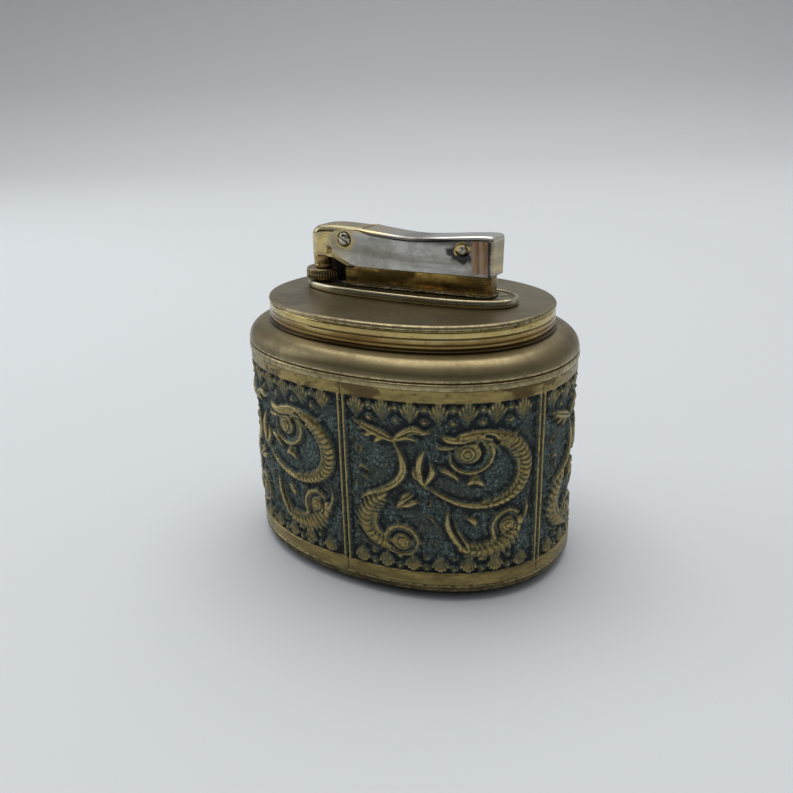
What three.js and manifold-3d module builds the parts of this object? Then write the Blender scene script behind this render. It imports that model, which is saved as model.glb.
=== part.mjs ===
// Oval brass table lighter with an embossed band and a lift-out butane insert.
// Units are millimetres, +Z is up. The origin is the middle of the underside.
// X runs along the oval, the burner is at the -X end and the thumb lever at the +X end.

import * as THREE from 'three';
import { mergeVertices } from 'three/addons/utils/BufferGeometryUtils.js';
import Module from 'manifold-3d';

const wasm = await Module();
wasm.setup();

// ---------------------------------------------------------------- driving dimensions

const CASE = {
  halfLength: 38.0, halfWidth: 28.7, roundness: 2.18, taper: 0.83,
  footTop: 1.2, baseTop: 3.9, bandTop: 46.85, shoulderTop: 52.9, neckTop: 57.35, top: 58.4,
  footInset: 4.0, wall: 1.3, bandThickness: 0.95, neckHalfLength: 32.85, neckWall: 1.4,
};
const WELL = { halfLength: 24.9, halfWidth: 7.05, roundness: 2.5, wall: 0.7, bottom: 40.0 };
const FLANGE = { halfLength: 25.8, halfWidth: 7.9, bottom: 58.45, top: 60.1 };
const TANK = { halfLength: 24.4, bottom: 20.0, top: 58.4, wall: 0.8 };

const PIVOT = { x: -13.4, z: 70.2 };
const SLEEVE_RADIUS = 1.1;
const SCREW = { headRadius: 1.4, shankRadius: 0.6, headInner: 4.45, headOuter: 4.8 };
const LEVER = { halfWidth: 4.4, innerHalfWidth: 3.95, skin: 0.8, endSkin: 0.35, bottom: 64.2, endX: 21.6,
  splitX: -9.35 };
const NOSE = { halfWidth: 3.7, innerHalfWidth: 3.2, leftX: -24.0, cornerRadius: 3.2, bottom: 66.1 };
const HOUSING = { halfWidth: 3.75, wall: 0.5, leftX: -13.8, rightX: 20.6, cornerRadius: 2.2,
  bottom: 60.15, top: 65.6 };
const FRAME = { halfWidth: 3.0, wall: 0.5, floor: 60.7 };
const RIVET = { x: 14.8, z: 69.65, radius: 0.85, halfLength: 4.6 };
// The lever, its housing and what sits between them narrow towards the free end of the lever.
const NARROWING = { from: -15.0, perMillimetre: 0.00787 };
const STOP_BAR = { x: 16.9, z: 66.3, radius: 0.6 };
const ARM = { pivotX: 12.0, pivotZ: 65.2, halfWidth: 1.6, pinRadius: 0.7 };
const TAIL_PIN = { x: -9.8, z: 69.0, radius: 0.45 };
const WHEEL = { x: -14.6, z: 66.9, radius: 2.2, halfWidth: 1.2, axleRadius: 0.6, teeth: 20 };
const RATCHET = { radius: 1.7, y0: -2.0, y1: -1.3, teeth: 8 };
const FLINT = { x: WHEEL.x, radius: 1.05, tubeRadius: 1.6, tubeBore: 1.15, tubeTop: 64.3 };
const BURNER = { x: -21.85, shroudRadius: 2.6, shroudBore: 2.05, shroudBottom: 62.95, shroudTop: 65.9,
  stemRadius: 1.6 };
const ADJUSTER = { radius: 4.5, bottom: 60.3, top: 62.8, bore: 2.15, teeth: 36 };
const CUP_PIN = { x: -18.4, z: 67.4, radius: 0.6 };
const FILL = { x: 14.0, radius: 2.4, bore: 1.25, stemRadius: 0.9 };

const OVAL_STEPS = 44;
const ROUND_STEPS = 16;
const RUNNING_GAP = 0.1;

// ---------------------------------------------------------------- colours

const BRASS_AGED = { color: 0x7d7353, roughness: 0.5, metalness: 1 };
const BRASS_BRIGHT = { color: 0xb79a4e, roughness: 0.28, metalness: 1 };
const BRASS_RELIEF = { color: 0x6b6a49, roughness: 0.6, metalness: 0.9 };
const GOLD_PLATE = { color: 0xbf9c48, roughness: 0.22, metalness: 1 };
const CHROME_WORN = { color: 0xb4ad9c, roughness: 0.3, metalness: 1 };
const NICKEL = { color: 0xb9b39d, roughness: 0.25, metalness: 1 };
const STEEL = { color: 0x9a9a96, roughness: 0.35, metalness: 1 };
const COPPER = { color: 0xa8733f, roughness: 0.35, metalness: 1 };
const RUBBER = { color: 0x1b1a18, roughness: 0.85, metalness: 0 };
const FELT = { color: 0x241f1a, roughness: 0.95, metalness: 0 };
const FLINT_GREY = { color: 0x4a4a4c, roughness: 0.7, metalness: 0.4 };

// ---------------------------------------------------------------- shape helpers

// Point of a superellipse with half axes a and b at angle t.
function ovalPoint(a, b, roundness, t) {
  const c = Math.cos(t);
  const s = Math.sin(t);
  return [
    a * Math.sign(c) * Math.abs(c) ** (2 / roundness),
    b * Math.sign(s) * Math.abs(s) ** (2 / roundness),
  ];
}

// Turns a profile of [half length, z] round an oval. A half length of 0 closes on the axis,
// and a profile without an axis point closes on itself, as a ring.
function ovalLathe(profile, widthOf, roundness, steps = OVAL_STEPS) {
  const positions = [];
  const rings = profile.map(([a, z]) => {
    const first = positions.length / 3;
    if (a === 0) {
      positions.push(0, 0, z);
      return { first, count: 1 };
    }
    for (let i = 0; i < steps; i += 1) {
      const [x, y] = ovalPoint(a, widthOf(a), roundness, (i / steps) * Math.PI * 2);
      positions.push(x, y, z);
    }
    return { first, count: steps };
  });
  const isRing = rings.every((ring) => ring.count > 1);
  const bands = isRing ? rings.length : rings.length - 1;
  const index = [];
  for (let k = 0; k < bands; k += 1) {
    const low = rings[k];
    const high = rings[(k + 1) % rings.length];
    for (let i = 0; i < steps; i += 1) {
      const j = (i + 1) % steps;
      const a0 = low.first + (i % low.count);
      const a1 = low.first + (j % low.count);
      const b0 = high.first + (i % high.count);
      const b1 = high.first + (j % high.count);
      if (low.count > 1) index.push(a0, a1, b1);
      if (high.count > 1) index.push(a0, b1, b0);
    }
  }
  const geometry = new THREE.BufferGeometry();
  geometry.setAttribute('position', new THREE.Float32BufferAttribute(positions, 3));
  geometry.setIndex(index);
  return facingOut(geometry);
}

// Turns the faces over when the enclosed volume comes out negative.
function facingOut(geometry) {
  const p = geometry.attributes.position;
  const index = geometry.index.array;
  const corner = [new THREE.Vector3(), new THREE.Vector3(), new THREE.Vector3()];
  let volume = 0;
  for (let i = 0; i < index.length; i += 3) {
    corner.forEach((v, k) => v.fromBufferAttribute(p, index[i + k]));
    volume += corner[0].dot(corner[1].cross(corner[2])) / 6;
  }
  if (volume < 0) {
    for (let i = 0; i < index.length; i += 3) [index[i + 1], index[i + 2]] = [index[i + 2], index[i + 1]];
  }
  return geometry;
}

const caseWidth = (a) => CASE.halfWidth - (CASE.halfLength - a) * CASE.taper;
const caseLathe = (profile) => ovalLathe(profile, caseWidth, CASE.roundness);

// Width of the insert's ovals: every one keeps the same distance to the flange's outline.
const insertWidth = (a) => FLANGE.halfWidth - (FLANGE.halfLength - a) * 0.75;
const insertLathe = (profile) => ovalLathe(profile, insertWidth, WELL.roundness);

// A flat outline in X and Z, given depth from y0 to y1.
function prism(points, y0, y1) {
  const shape = new THREE.Shape(points.map(([x, z]) => new THREE.Vector2(x, z)));
  const geometry = new THREE.ExtrudeGeometry(shape, { depth: y1 - y0, bevelEnabled: false });
  return geometry.rotateX(Math.PI / 2).translate(0, y1, 0);
}

// A flat outline in X and Y, raised from z0 to z1.
function slab(shape, z0, z1, curveSegments = 6) {
  const options = { depth: z1 - z0, bevelEnabled: false, curveSegments };
  return new THREE.ExtrudeGeometry(shape, options).translate(0, 0, z0);
}

// A round bar along Y through (x, z).
function barY(radius, x, z, y0, y1, steps = ROUND_STEPS) {
  return new THREE.CylinderGeometry(radius, radius, y1 - y0, steps).translate(x, (y0 + y1) / 2, z);
}

// A round bar along Z at x.
function barZ(radius, x, z0, z1, steps = ROUND_STEPS) {
  const bar = new THREE.CylinderGeometry(radius, radius, z1 - z0, steps).rotateX(Math.PI / 2);
  return bar.translate(x, 0, (z0 + z1) / 2);
}

// A turned piece round a vertical line at x. The profile of [radius, z] starts and ends on the
// axis, or else closes on itself.
function turned(profile, x, steps = 24) {
  const loop = profile[0][0] === 0 ? profile : [...profile, profile[0]];
  const points = loop.map(([r, z]) => new THREE.Vector2(r, z));
  return new THREE.LatheGeometry(points, steps).rotateX(Math.PI / 2).translate(x, 0, 0);
}

// A turned tube with an open bore.
const tubeZ = (outer, bore, x, z0, z1, steps = ROUND_STEPS) =>
  turned([[bore, z0], [outer, z0], [outer, z1], [bore, z1]], x, steps);

// A wire along a curve.
function wire(curve, radius, steps, sides = 6) {
  const ring = new THREE.Shape();
  ring.absarc(0, 0, radius, 0, Math.PI * 2);
  return new THREE.ExtrudeGeometry(ring, { steps, extrudePath: curve, curveSegments: sides, bevelEnabled: false });
}

class Helix extends THREE.Curve {
  constructor(x, radius, z0, z1, turns) {
    super();
    Object.assign(this, { x, radius, z0, z1, turns });
  }

  getPoint(t, target = new THREE.Vector3()) {
    const angle = t * this.turns * Math.PI * 2;
    return target.set(
      this.x + this.radius * Math.cos(angle),
      this.radius * Math.sin(angle),
      this.z0 + (this.z1 - this.z0) * t,
    );
  }
}

// A compression spring standing at x.
function coilSpring(x, radius, wireRadius, z0, z1, turns) {
  const path = new Helix(x, radius, z0 + wireRadius, z1 - wireRadius, turns);
  return wire(path, wireRadius, Math.round(turns * 9), 3);
}

// ---------------------------------------------------------------- solids

function toManifold(geometry) {
  const bare = geometry.clone();
  bare.deleteAttribute('normal');
  bare.deleteAttribute('uv');
  const merged = mergeVertices(bare, 1e-4);
  return new wasm.Manifold(new wasm.Mesh({
    numProp: 3,
    vertProperties: new Float32Array(merged.attributes.position.array),
    triVerts: new Uint32Array(merged.index.array),
  }));
}

function toGeometry(manifold) {
  const { vertProperties, triVerts } = manifold.getMesh();
  const geometry = new THREE.BufferGeometry();
  geometry.setAttribute('position', new THREE.Float32BufferAttribute(vertProperties, 3));
  geometry.setIndex(Array.from(triVerts));
  return geometry;
}

const cut = (body, ...tools) =>
  toGeometry(tools.reduce((solid, tool) => solid.subtract(toManifold(tool)), toManifold(body)));
const join = (body, ...others) =>
  toGeometry(others.reduce((solid, other) => solid.add(toManifold(other)), toManifold(body)));
const overlap = (body, other) => toGeometry(toManifold(body).intersect(toManifold(other)));

function narrowed(geometry) {
  const p = geometry.attributes.position;
  for (let i = 0; i < p.count; i += 1) {
    p.setY(i, p.getY(i) * (1 - NARROWING.perMillimetre * (p.getX(i) - NARROWING.from)));
  }
  return geometry;
}

const lighter = new THREE.Group();

function add(name, geometry, finish) {
  const mesh = new THREE.Mesh(geometry, new THREE.MeshStandardMaterial(finish));
  mesh.name = name;
  lighter.add(mesh);
  return mesh;
}

// ---------------------------------------------------------------- case

function makeCase() {
  const { halfLength: a, wall, footTop, baseTop, bandTop, shoulderTop, neckTop, top } = CASE;
  const inside = a - CASE.bandThickness - 0.05;
  const footLength = a - CASE.footInset;
  add('foot_pad', caseLathe([[0, 0], [footLength - 0.2, 0], [footLength, 0.2], [footLength, footTop],
    [0, footTop]]), FELT);

  const edge = 0.7;
  add('base_plate', caseLathe([[0, footTop + 0.02], [a - 1.4, footTop + 0.02], [a - 0.4, footTop + edge],
    [a, footTop + 2 * edge], [a - 0.1, baseTop], [0, baseTop]]), BRASS_AGED);

  add('body_shell', caseLathe([[inside - wall, baseTop + 0.05], [inside, baseTop + 0.05],
    [inside, bandTop], [inside - wall, bandTop]]), BRASS_AGED);
  add('relief_band', caseLathe([[a - CASE.bandThickness, baseTop + 0.05], [a, baseTop + 0.05],
    [a, bandTop], [a - CASE.bandThickness, bandTop]]), BRASS_RELIEF);

  const neck = CASE.neckHalfLength;
  const lip = bandTop + 0.05;
  add('shoulder_ring', caseLathe([[neck - 1.6, lip], [a + 0.2, lip], [a + 0.2, lip + 1.5], [a - 0.1, lip + 3.0],
    [a - 0.9, lip + 4.2], [a - 2.3, lip + 5.2], [neck, shoulderTop], [neck - 1.6, shoulderTop]]), BRASS_AGED);

  const bead = shoulderTop + 0.05;
  add('neck_ring', caseLathe([[neck - CASE.neckWall, bead], [neck + 0.25, bead], [neck + 0.25, bead + 0.6],
    [neck - 0.1, bead + 0.8], [neck - 0.1, neckTop], [neck - CASE.neckWall, neckTop]]), BRASS_BRIGHT);

  const plateBottom = neckTop + 0.05;
  const plate = caseLathe([[0, plateBottom], [neck - 0.1, plateBottom], [neck, plateBottom + 0.3],
    [neck - 0.15, top - 0.25], [neck - 0.7, top], [0, top]]);
  const hole = ovalLathe([[0, 56], [WELL.halfLength, 56], [WELL.halfLength, 60], [0, 60]],
    () => WELL.halfWidth, WELL.roundness);
  add('top_plate', cut(plate, hole), BRASS_AGED);

  const liner = (length) => WELL.halfWidth + (length - WELL.halfLength);
  add('insert_sleeve', ovalLathe([[WELL.halfLength, WELL.bottom], [WELL.halfLength + WELL.wall, WELL.bottom],
    [WELL.halfLength + WELL.wall, neckTop], [WELL.halfLength, neckTop]], liner, WELL.roundness), BRASS_AGED);
}

// ---------------------------------------------------------------- insert: tank, flint and gas parts

function makeTank() {
  const { halfLength: a, wall, bottom, top } = TANK;
  const tank = insertLathe([[0, top], [a, top], [a, bottom], [a - wall, bottom], [a - wall, top - wall],
    [0, top - wall]]);
  const stemHole = barZ(BURNER.stemRadius + 0.1, BURNER.x, 50, 62);
  const flintHole = barZ(FLINT.tubeRadius + 0.1, FLINT.x, 50, 62);
  add('fuel_tank', cut(tank, stemHole, flintHole), BRASS_AGED);

  const lidLength = a - wall - 0.1;
  const lid = insertLathe([[0, bottom + 0.3], [lidLength, bottom + 0.3], [lidLength, bottom + 1.5],
    [0, bottom + 1.5]]);
  add('tank_bottom', cut(lid, barZ(FLINT.tubeRadius + 0.1, FLINT.x, 15, 25), barZ(FILL.radius + 0.1, FILL.x, 15, 25)),
    STEEL);

  const rim = 0.5;
  const { halfLength: f, bottom: low, top: high } = FLANGE;
  const flange = insertLathe([[0, low], [f - 0.15, low], [f, low + 0.35], [f, high - 2 * rim],
    [f - 0.3, high - 0.35], [f - 0.9, high], [0, high]]);
  add('insert_flange', cut(flange, stemHole, flintHole), NICKEL);
}

function makeFlintParts() {
  const { x, radius, tubeRadius, tubeBore, tubeTop } = FLINT;
  const screwTop = 24.5;
  const springTop = 57.0;
  add('flint_tube', tubeZ(tubeRadius, tubeBore, x, TANK.bottom + 0.15, tubeTop), BRASS_BRIGHT);
  const screw = join(barZ(2.6, x, 18.4, 20.0, 20), barZ(1.05, x, 19.9, screwTop, 12));
  const slot = new THREE.BoxGeometry(7, 0.6, 0.6).translate(x, 0, 18.5);
  add('flint_screw', cut(screw, slot), BRASS_BRIGHT);
  add('flint_spring', coilSpring(x, 0.78, 0.2, screwTop + 0.1, springTop, 8), STEEL);
  add('flint', barZ(radius, x, springTop + 0.1, tubeTop + 0.25, 12), FLINT_GREY);
}

function makeFillValve() {
  const { x, radius, bore, stemRadius } = FILL;
  const low = TANK.bottom + 0.1;
  add('fill_valve_body', turned([[bore, low], [radius, low], [radius, low + 5], [bore, low + 5]], x), BRASS_BRIGHT);
  add('fill_valve_seal', tubeZ(2.1, 1.05, x, low + 5.1, low + 5.9), RUBBER);
  const stem = join(barZ(stemRadius, x, low + 0.6, low + 7.5, 12), barZ(1.8, x, low + 6.1, low + 6.9));
  add('fill_valve_stem', stem, BRASS_BRIGHT);
  add('fill_valve_spring', coilSpring(x, 1.5, 0.2, low + 7.0, low + 12.5, 3.5), STEEL);
  const cage = turned([[1.15, low + 12.6], [2.2, low + 12.6], [2.2, low + 13.4], [1.15, low + 13.4]], x);
  const leg = new THREE.BoxGeometry(0.6, 1.6, 6.8).translate(x + 2.15, 0, low + 9.4);
  add('fill_valve_cage', join(cage, leg), STEEL);
}

function makeBurner() {
  const { x, stemRadius, shroudRadius, shroudBore, shroudBottom, shroudTop } = BURNER;
  const body = turned([[1.0, 46.0], [stemRadius, 46.0], [stemRadius, 60.2], [1.9, 60.2], [1.9, shroudBottom - 0.05],
    [1.0, shroudBottom - 0.05]], x);
  add('burner_body', body, BRASS_BRIGHT);
  add('burner_shroud', tubeZ(shroudRadius, shroudBore, x, shroudBottom, shroudTop, 24), COPPER);
  const jet = turned([[0.3, 51.0], [0.85, 51.0], [0.85, 63.2], [1.4, 63.5], [1.4, 64.2], [0.9, 64.4],
    [0.8, 65.95], [0.3, 65.95]], x, 20);
  add('burner_jet', jet, BRASS_BRIGHT);
  add('valve_seal', barZ(0.8, x, 49.9, 50.7, 12), RUBBER);
  add('valve_spring', coilSpring(x, 0.65, 0.15, 46.2, 49.8, 3.5), STEEL);

  const { radius, bottom, top, bore, teeth } = ADJUSTER;
  const gear = new THREE.Shape();
  for (let i = 0; i < teeth * 2; i += 1) {
    const r = radius - (i % 2) * 0.22;
    const t = (i / teeth) * Math.PI;
    gear[i ? 'lineTo' : 'moveTo'](r * Math.cos(t), r * Math.sin(t));
  }
  const hole = new THREE.Path();
  hole.absarc(0, 0, bore, 0, Math.PI * 2, true);
  gear.holes.push(hole);
  const wheel = slab(gear, bottom + 0.35, top - 0.5).translate(x, 0, 0);
  const crown = tubeZ(radius - 0.45, bore, x, bottom, top, 24);
  add('adjuster_wheel', join(wheel, crown), BRASS_AGED);
}

// ---------------------------------------------------------------- insert: housing, frame and pivot

function makeHousing() {
  const { halfWidth, wall, leftX, rightX, bottom, top, cornerRadius } = HOUSING;
  const plan = (w, left, right) => {
    const r = cornerRadius - (halfWidth - w);
    const shape = new THREE.Shape();
    shape.moveTo(left, -w).lineTo(right - r, -w);
    shape.absarc(right - r, -w + r, r, -Math.PI / 2, 0);
    shape.absarc(right - r, w - r, r, 0, Math.PI / 2);
    shape.lineTo(left, w).closePath();
    return shape;
  };
  const outer = slab(plan(halfWidth, leftX, rightX), bottom, top);
  const inner = slab(plan(halfWidth - wall, leftX - 2, rightX - wall), bottom - 1, top + 1);
  const step = prism([[leftX - 1, 63.85], [-12, 63.85], [-11, 64.25], [-8, top + 1], [leftX - 1, top + 1]],
    -halfWidth - 1, halfWidth + 1);
  const shell = cut(outer, inner, step);
  const foot = slab(plan(halfWidth - 0.1, leftX, rightX - 0.1), bottom, bottom + 0.4);
  add('housing', cut(narrowed(join(shell, foot)), barZ(FLINT.tubeRadius + 0.1, FLINT.x, 58, 62)), GOLD_PLATE);

  const ear = [];
  for (let i = 0; i <= 8; i += 1) {
    const t = Math.PI * (1.05 - i * 0.13);
    ear.push([PIVOT.x + 1.65 * Math.cos(t), PIVOT.z + 1.65 * Math.sin(t)]);
  }
  const outline = [[leftX, bottom + 0.45], [leftX, 63.9], [-16.0, 66.4], [-16.0, 67.6], ...ear,
    [-11.7, 66.0], [-10.5, 64.6], [9.5, 65.0], [11.0, 66.4], [13.0, 66.4], [13.6, 65.4], [16.0, 65.4],
    [16.1, 67.2], [17.8, 67.2], [17.8, bottom + 0.45]];
  const frame = prism(outline, -FRAME.halfWidth, FRAME.halfWidth);
  const channel = new THREE.BoxGeometry(60, 2 * (FRAME.halfWidth - FRAME.wall), 30)
    .translate(0, 0, FRAME.floor + 0.4 + 15);
  add('frame', cut(narrowed(cut(frame, channel)), barZ(FLINT.tubeRadius + 0.1, FLINT.x, 58, 66),
    barY(SLEEVE_RADIUS + 0.08, PIVOT.x, PIVOT.z, -5, 5), barY(WHEEL.axleRadius + 0.06, WHEEL.x, WHEEL.z, -5, 5),
    barY(ARM.pinRadius + 0.06, ARM.pivotX, ARM.pivotZ, -5, 5),
    barY(STOP_BAR.radius + 0.06, STOP_BAR.x, STOP_BAR.z, -5, 5)), STEEL);

  add('stop_bar', narrowed(barY(STOP_BAR.radius, STOP_BAR.x, STOP_BAR.z, -3.1, 3.1)), STEEL);
  add('arm_pin', narrowed(barY(ARM.pinRadius, ARM.pivotX, ARM.pivotZ, -3.1, 3.1)), STEEL);
  add('wheel_axle', barY(WHEEL.axleRadius, WHEEL.x, WHEEL.z, -3.1, 3.1), STEEL);
}

function makePivot() {
  const { headRadius, shankRadius, headInner, headOuter } = SCREW;
  const { x, z } = PIVOT;
  const slot = (y) => new THREE.BoxGeometry(4, 0.4, 0.45).rotateY(Math.PI / 6).translate(x, y, z);
  const screw = join(barY(headRadius, x, z, -headOuter, -headInner, 20), barY(shankRadius, x, z, -headInner, 2.0));
  add('pivot_screw', cut(screw, slot(-headOuter)), STEEL);
  const nut = join(barY(headRadius, x, z, headInner, headOuter, 20), barY(SLEEVE_RADIUS, x, z, -4.35, headInner));
  const bore = barY(shankRadius + 0.06, x, z, -5, 2.2);
  add('pivot_nut', cut(nut, bore, slot(headOuter)), STEEL);
}

// ---------------------------------------------------------------- moving parts

// Height of the lever's top along its length: a shallow saddle for the thumb.
const LEVER_TOP = [[LEVER.splitX, 72.6], [-5, 72.15], [0, 71.7], [4, 71.6], [9, 71.85], [14, 72.25], [19, 72.55],
  [LEVER.endX, 72.45]];

function makeLever() {
  const { halfWidth, innerHalfWidth, skin, endSkin, bottom, endX, splitX } = LEVER;
  const lobe = [[splitX, 72.1], [-15.9, 72.1], [-16.7, 71.0], [-17.0, 69.7], [-16.7, 67.4], [-15.2, 66.1],
    [-11.9, 64.5], [-10.5, bottom]];
  const outer = prism([...lobe, [endX - 0.3, bottom], ...[...LEVER_TOP].reverse()], -halfWidth, halfWidth);
  const under = LEVER_TOP.slice(1, -1).map(([x, z]) => [x, z - skin]).reverse();
  const inner = prism([[-20, 60], [endX - endSkin, 60], [endX - endSkin, 71.6], ...under, [splitX + 0.45, 71.6],
    [splitX, 75], [-20, 75]], -innerHalfWidth, innerHalfWidth);
  const rivetHole = barY(RIVET.radius + 0.05, RIVET.x, RIVET.z, -5, 5);
  const pivotHole = barY(SLEEVE_RADIUS + RUNNING_GAP, PIVOT.x, PIVOT.z, -5, 5);
  add('lever', narrowed(cut(outer, inner, rivetHole, pivotHole)), CHROME_WORN);

  const tube = cut(barY(RIVET.radius, RIVET.x, RIVET.z, -RIVET.halfLength, RIVET.halfLength),
    barY(0.45, RIVET.x, RIVET.z, -RIVET.halfLength - 1, RIVET.halfLength + 1, 12));
  add('lever_rivet', narrowed(tube), STEEL);

  const tongue = prism([[-2.9, 70.6], [-2.5, 69.1], [-1.3, 69.1], [-0.9, 69.9], [13.4, 70.1], [13.6, 68.5], [14.2, 68.2],
    [14.2, 64.5], [17.6, 64.5], [17.6, 65.5], [15.7, 65.5], [15.7, 68.2], [16.4, 68.5], [16.4, 70.8], [3.0, 70.6]],
  -2.2, 2.2);
  add('lever_tongue', narrowed(cut(tongue, barY(RIVET.radius + 0.05, RIVET.x, RIVET.z, -5, 5))), STEEL);
  add('lever_spring', coilSpring(18.85, 0.8, 0.18, HOUSING.bottom + 0.5, 71.5, 6), STEEL);
}

function makeSnuffer() {
  const { halfWidth, innerHalfWidth, leftX, cornerRadius, bottom } = NOSE;
  const sweep = [];
  for (let i = 0; i <= 6; i += 1) {
    const t = THREE.MathUtils.degToRad(31 - i * 12);
    sweep.push([PIVOT.x + 4.5 * Math.cos(t), PIVOT.z + 4.5 * Math.sin(t)]);
  }
  const side = [[leftX, bottom], [leftX, 71.0], [-23.6, 71.9], [-22.6, 72.5], [-20.8, 72.85], [-17.5, 72.95],
    [-14.5, 72.9], [-9.75, 72.6], ...sweep, [-12.0, 64.6], [-13.4, 64.2], [-17.3, 65.7], [-19.5, 66.0]];
  const plan = new THREE.Shape();
  plan.moveTo(-5, -halfWidth).lineTo(leftX + cornerRadius, -halfWidth);
  plan.absarc(leftX + cornerRadius, -halfWidth + cornerRadius, cornerRadius, -Math.PI / 2, -Math.PI, true);
  plan.absarc(leftX + cornerRadius, halfWidth - cornerRadius, cornerRadius, Math.PI, Math.PI / 2, true);
  plan.lineTo(-5, halfWidth).closePath();
  const block = overlap(prism(side, -5, 5), slab(plan, 60, 75));
  const wall = 0.6;
  const innerPlan = new THREE.Shape();
  const innerRadius = cornerRadius - wall;
  innerPlan.moveTo(0, -innerHalfWidth).lineTo(leftX + cornerRadius, -innerHalfWidth);
  innerPlan.absarc(leftX + cornerRadius, -innerHalfWidth + innerRadius, innerRadius, -Math.PI / 2, -Math.PI, true);
  innerPlan.absarc(leftX + cornerRadius, innerHalfWidth - innerRadius, innerRadius, Math.PI, Math.PI / 2, true);
  innerPlan.lineTo(0, innerHalfWidth).closePath();
  const hollow = slab(innerPlan, 50, 72.1);
  add('snuffer', cut(block, hollow, barY(SLEEVE_RADIUS + RUNNING_GAP, PIVOT.x, PIVOT.z, -5, 5),
    barY(CUP_PIN.radius + 0.05, CUP_PIN.x, CUP_PIN.z, -5, 5),
    barY(TAIL_PIN.radius + 0.05, TAIL_PIN.x, TAIL_PIN.z, -5, 5)), GOLD_PLATE);

  add('snuffer_pin', barY(CUP_PIN.radius, CUP_PIN.x, CUP_PIN.z, -3.85, 3.85), BRASS_BRIGHT);
  add('tail_pin', barY(TAIL_PIN.radius, TAIL_PIN.x, TAIL_PIN.z, -3.7, 3.7, 12), STEEL);

  const cap = turned([[0, 66.7], [0.95, 66.7], [0.95, 66.2], [1.35, 66.2], [1.35, 67.3], [0, 67.3]], BURNER.x,
    ROUND_STEPS);
  const arm = prism([[BURNER.x, 66.85], [-18.4, 66.4], [-17.5, 66.9], [-17.5, 67.9], [-18.4, 68.4],
    [BURNER.x, 67.5]], -1.2, 1.2);
  add('snuffer_cup', cut(join(cap, arm), barY(CUP_PIN.radius + 0.05, CUP_PIN.x, CUP_PIN.z, -5, 5)), BRASS_BRIGHT);
}

function makeArm() {
  const { pivotX, pivotZ, halfWidth, pinRadius } = ARM;
  const bar = prism([[13.2, 64.4], [13.2, 65.9], [11.6, 66.4], [-3.0, 68.95], [-9.0, 70.35], [-12.0, 70.4],
    [-12.0, 69.6], [-9.1, 69.55], [-8.4, 69.2], [-3.0, 67.9], [11.0, 64.4]], -halfWidth, halfWidth);
  const finger = prism([[-12.0, 70.3], [-11.3, 70.3], [-11.3, 67.3], [-12.6, 67.3], [-12.7, 67.7], [-12.0, 68.3]],
    -1.6, -1.3);
  const hole = barY(pinRadius + 0.08, pivotX, pivotZ, -5, 5);
  add('actuator_arm', narrowed(cut(join(bar, finger), hole)), STEEL);
}

function makeWheel() {
  const { x, z, radius, halfWidth, axleRadius, teeth } = WHEEL;
  const toothed = (r, depth, count, lean) => {
    const points = [];
    for (let i = 0; i < count; i += 1) {
      const t = (i / count) * Math.PI * 2;
      const u = ((i + lean) / count) * Math.PI * 2;
      points.push([x + r * Math.cos(t), z + r * Math.sin(t)]);
      points.push([x + (r - depth) * Math.cos(u), z + (r - depth) * Math.sin(u)]);
    }
    return points;
  };
  const bore = barY(axleRadius + RUNNING_GAP, x, z, -5, 5);
  add('spark_wheel', cut(prism(toothed(radius, 0.2, teeth, 0.5), -halfWidth, halfWidth), bore), STEEL);
  add('ratchet_wheel', cut(prism(toothed(RATCHET.radius, 0.4, RATCHET.teeth, 0.15), RATCHET.y0, RATCHET.y1), bore),
    STEEL);
}

makeCase();
makeTank();
makeFlintParts();
makeFillValve();
makeBurner();
makeHousing();
makePivot();
makeLever();
makeSnuffer();
makeArm();
makeWheel();

export default lighter;
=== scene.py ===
"""Looks of the oval brass table lighter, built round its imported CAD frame.

Shapes are worked out in millimetres and scaled to metres when a mesh is made.
X runs along the oval, the burner is at -X, the front is at -Y and Z is up.
"""

import math

import bmesh
import bpy
import numpy as np
from mathutils import Matrix, Vector


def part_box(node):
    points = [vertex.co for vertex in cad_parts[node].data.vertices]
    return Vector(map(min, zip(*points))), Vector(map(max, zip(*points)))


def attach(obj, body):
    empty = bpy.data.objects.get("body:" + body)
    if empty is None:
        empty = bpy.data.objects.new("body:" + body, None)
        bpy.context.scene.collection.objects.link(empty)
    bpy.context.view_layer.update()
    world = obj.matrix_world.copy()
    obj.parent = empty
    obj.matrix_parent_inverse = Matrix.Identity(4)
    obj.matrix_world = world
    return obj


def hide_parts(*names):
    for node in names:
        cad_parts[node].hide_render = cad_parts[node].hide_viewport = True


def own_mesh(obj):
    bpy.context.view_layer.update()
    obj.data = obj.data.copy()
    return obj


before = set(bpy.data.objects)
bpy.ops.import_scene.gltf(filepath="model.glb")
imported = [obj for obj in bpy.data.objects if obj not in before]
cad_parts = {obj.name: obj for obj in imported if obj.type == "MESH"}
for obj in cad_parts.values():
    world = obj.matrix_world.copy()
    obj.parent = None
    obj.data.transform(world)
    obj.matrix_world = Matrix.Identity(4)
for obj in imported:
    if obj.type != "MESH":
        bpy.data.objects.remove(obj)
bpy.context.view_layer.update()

MM = 0.001
SEED = 11
SMOOTH_STEPS = 256


def mm_box(node):
    """Lowest and highest corner of a CAD node, in millimetres."""
    return tuple(np.array(corner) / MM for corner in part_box(node))


def middle(node):
    """The middle of a CAD node, in millimetres."""
    low, high = mm_box(node)
    return (low + high) / 2


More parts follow.
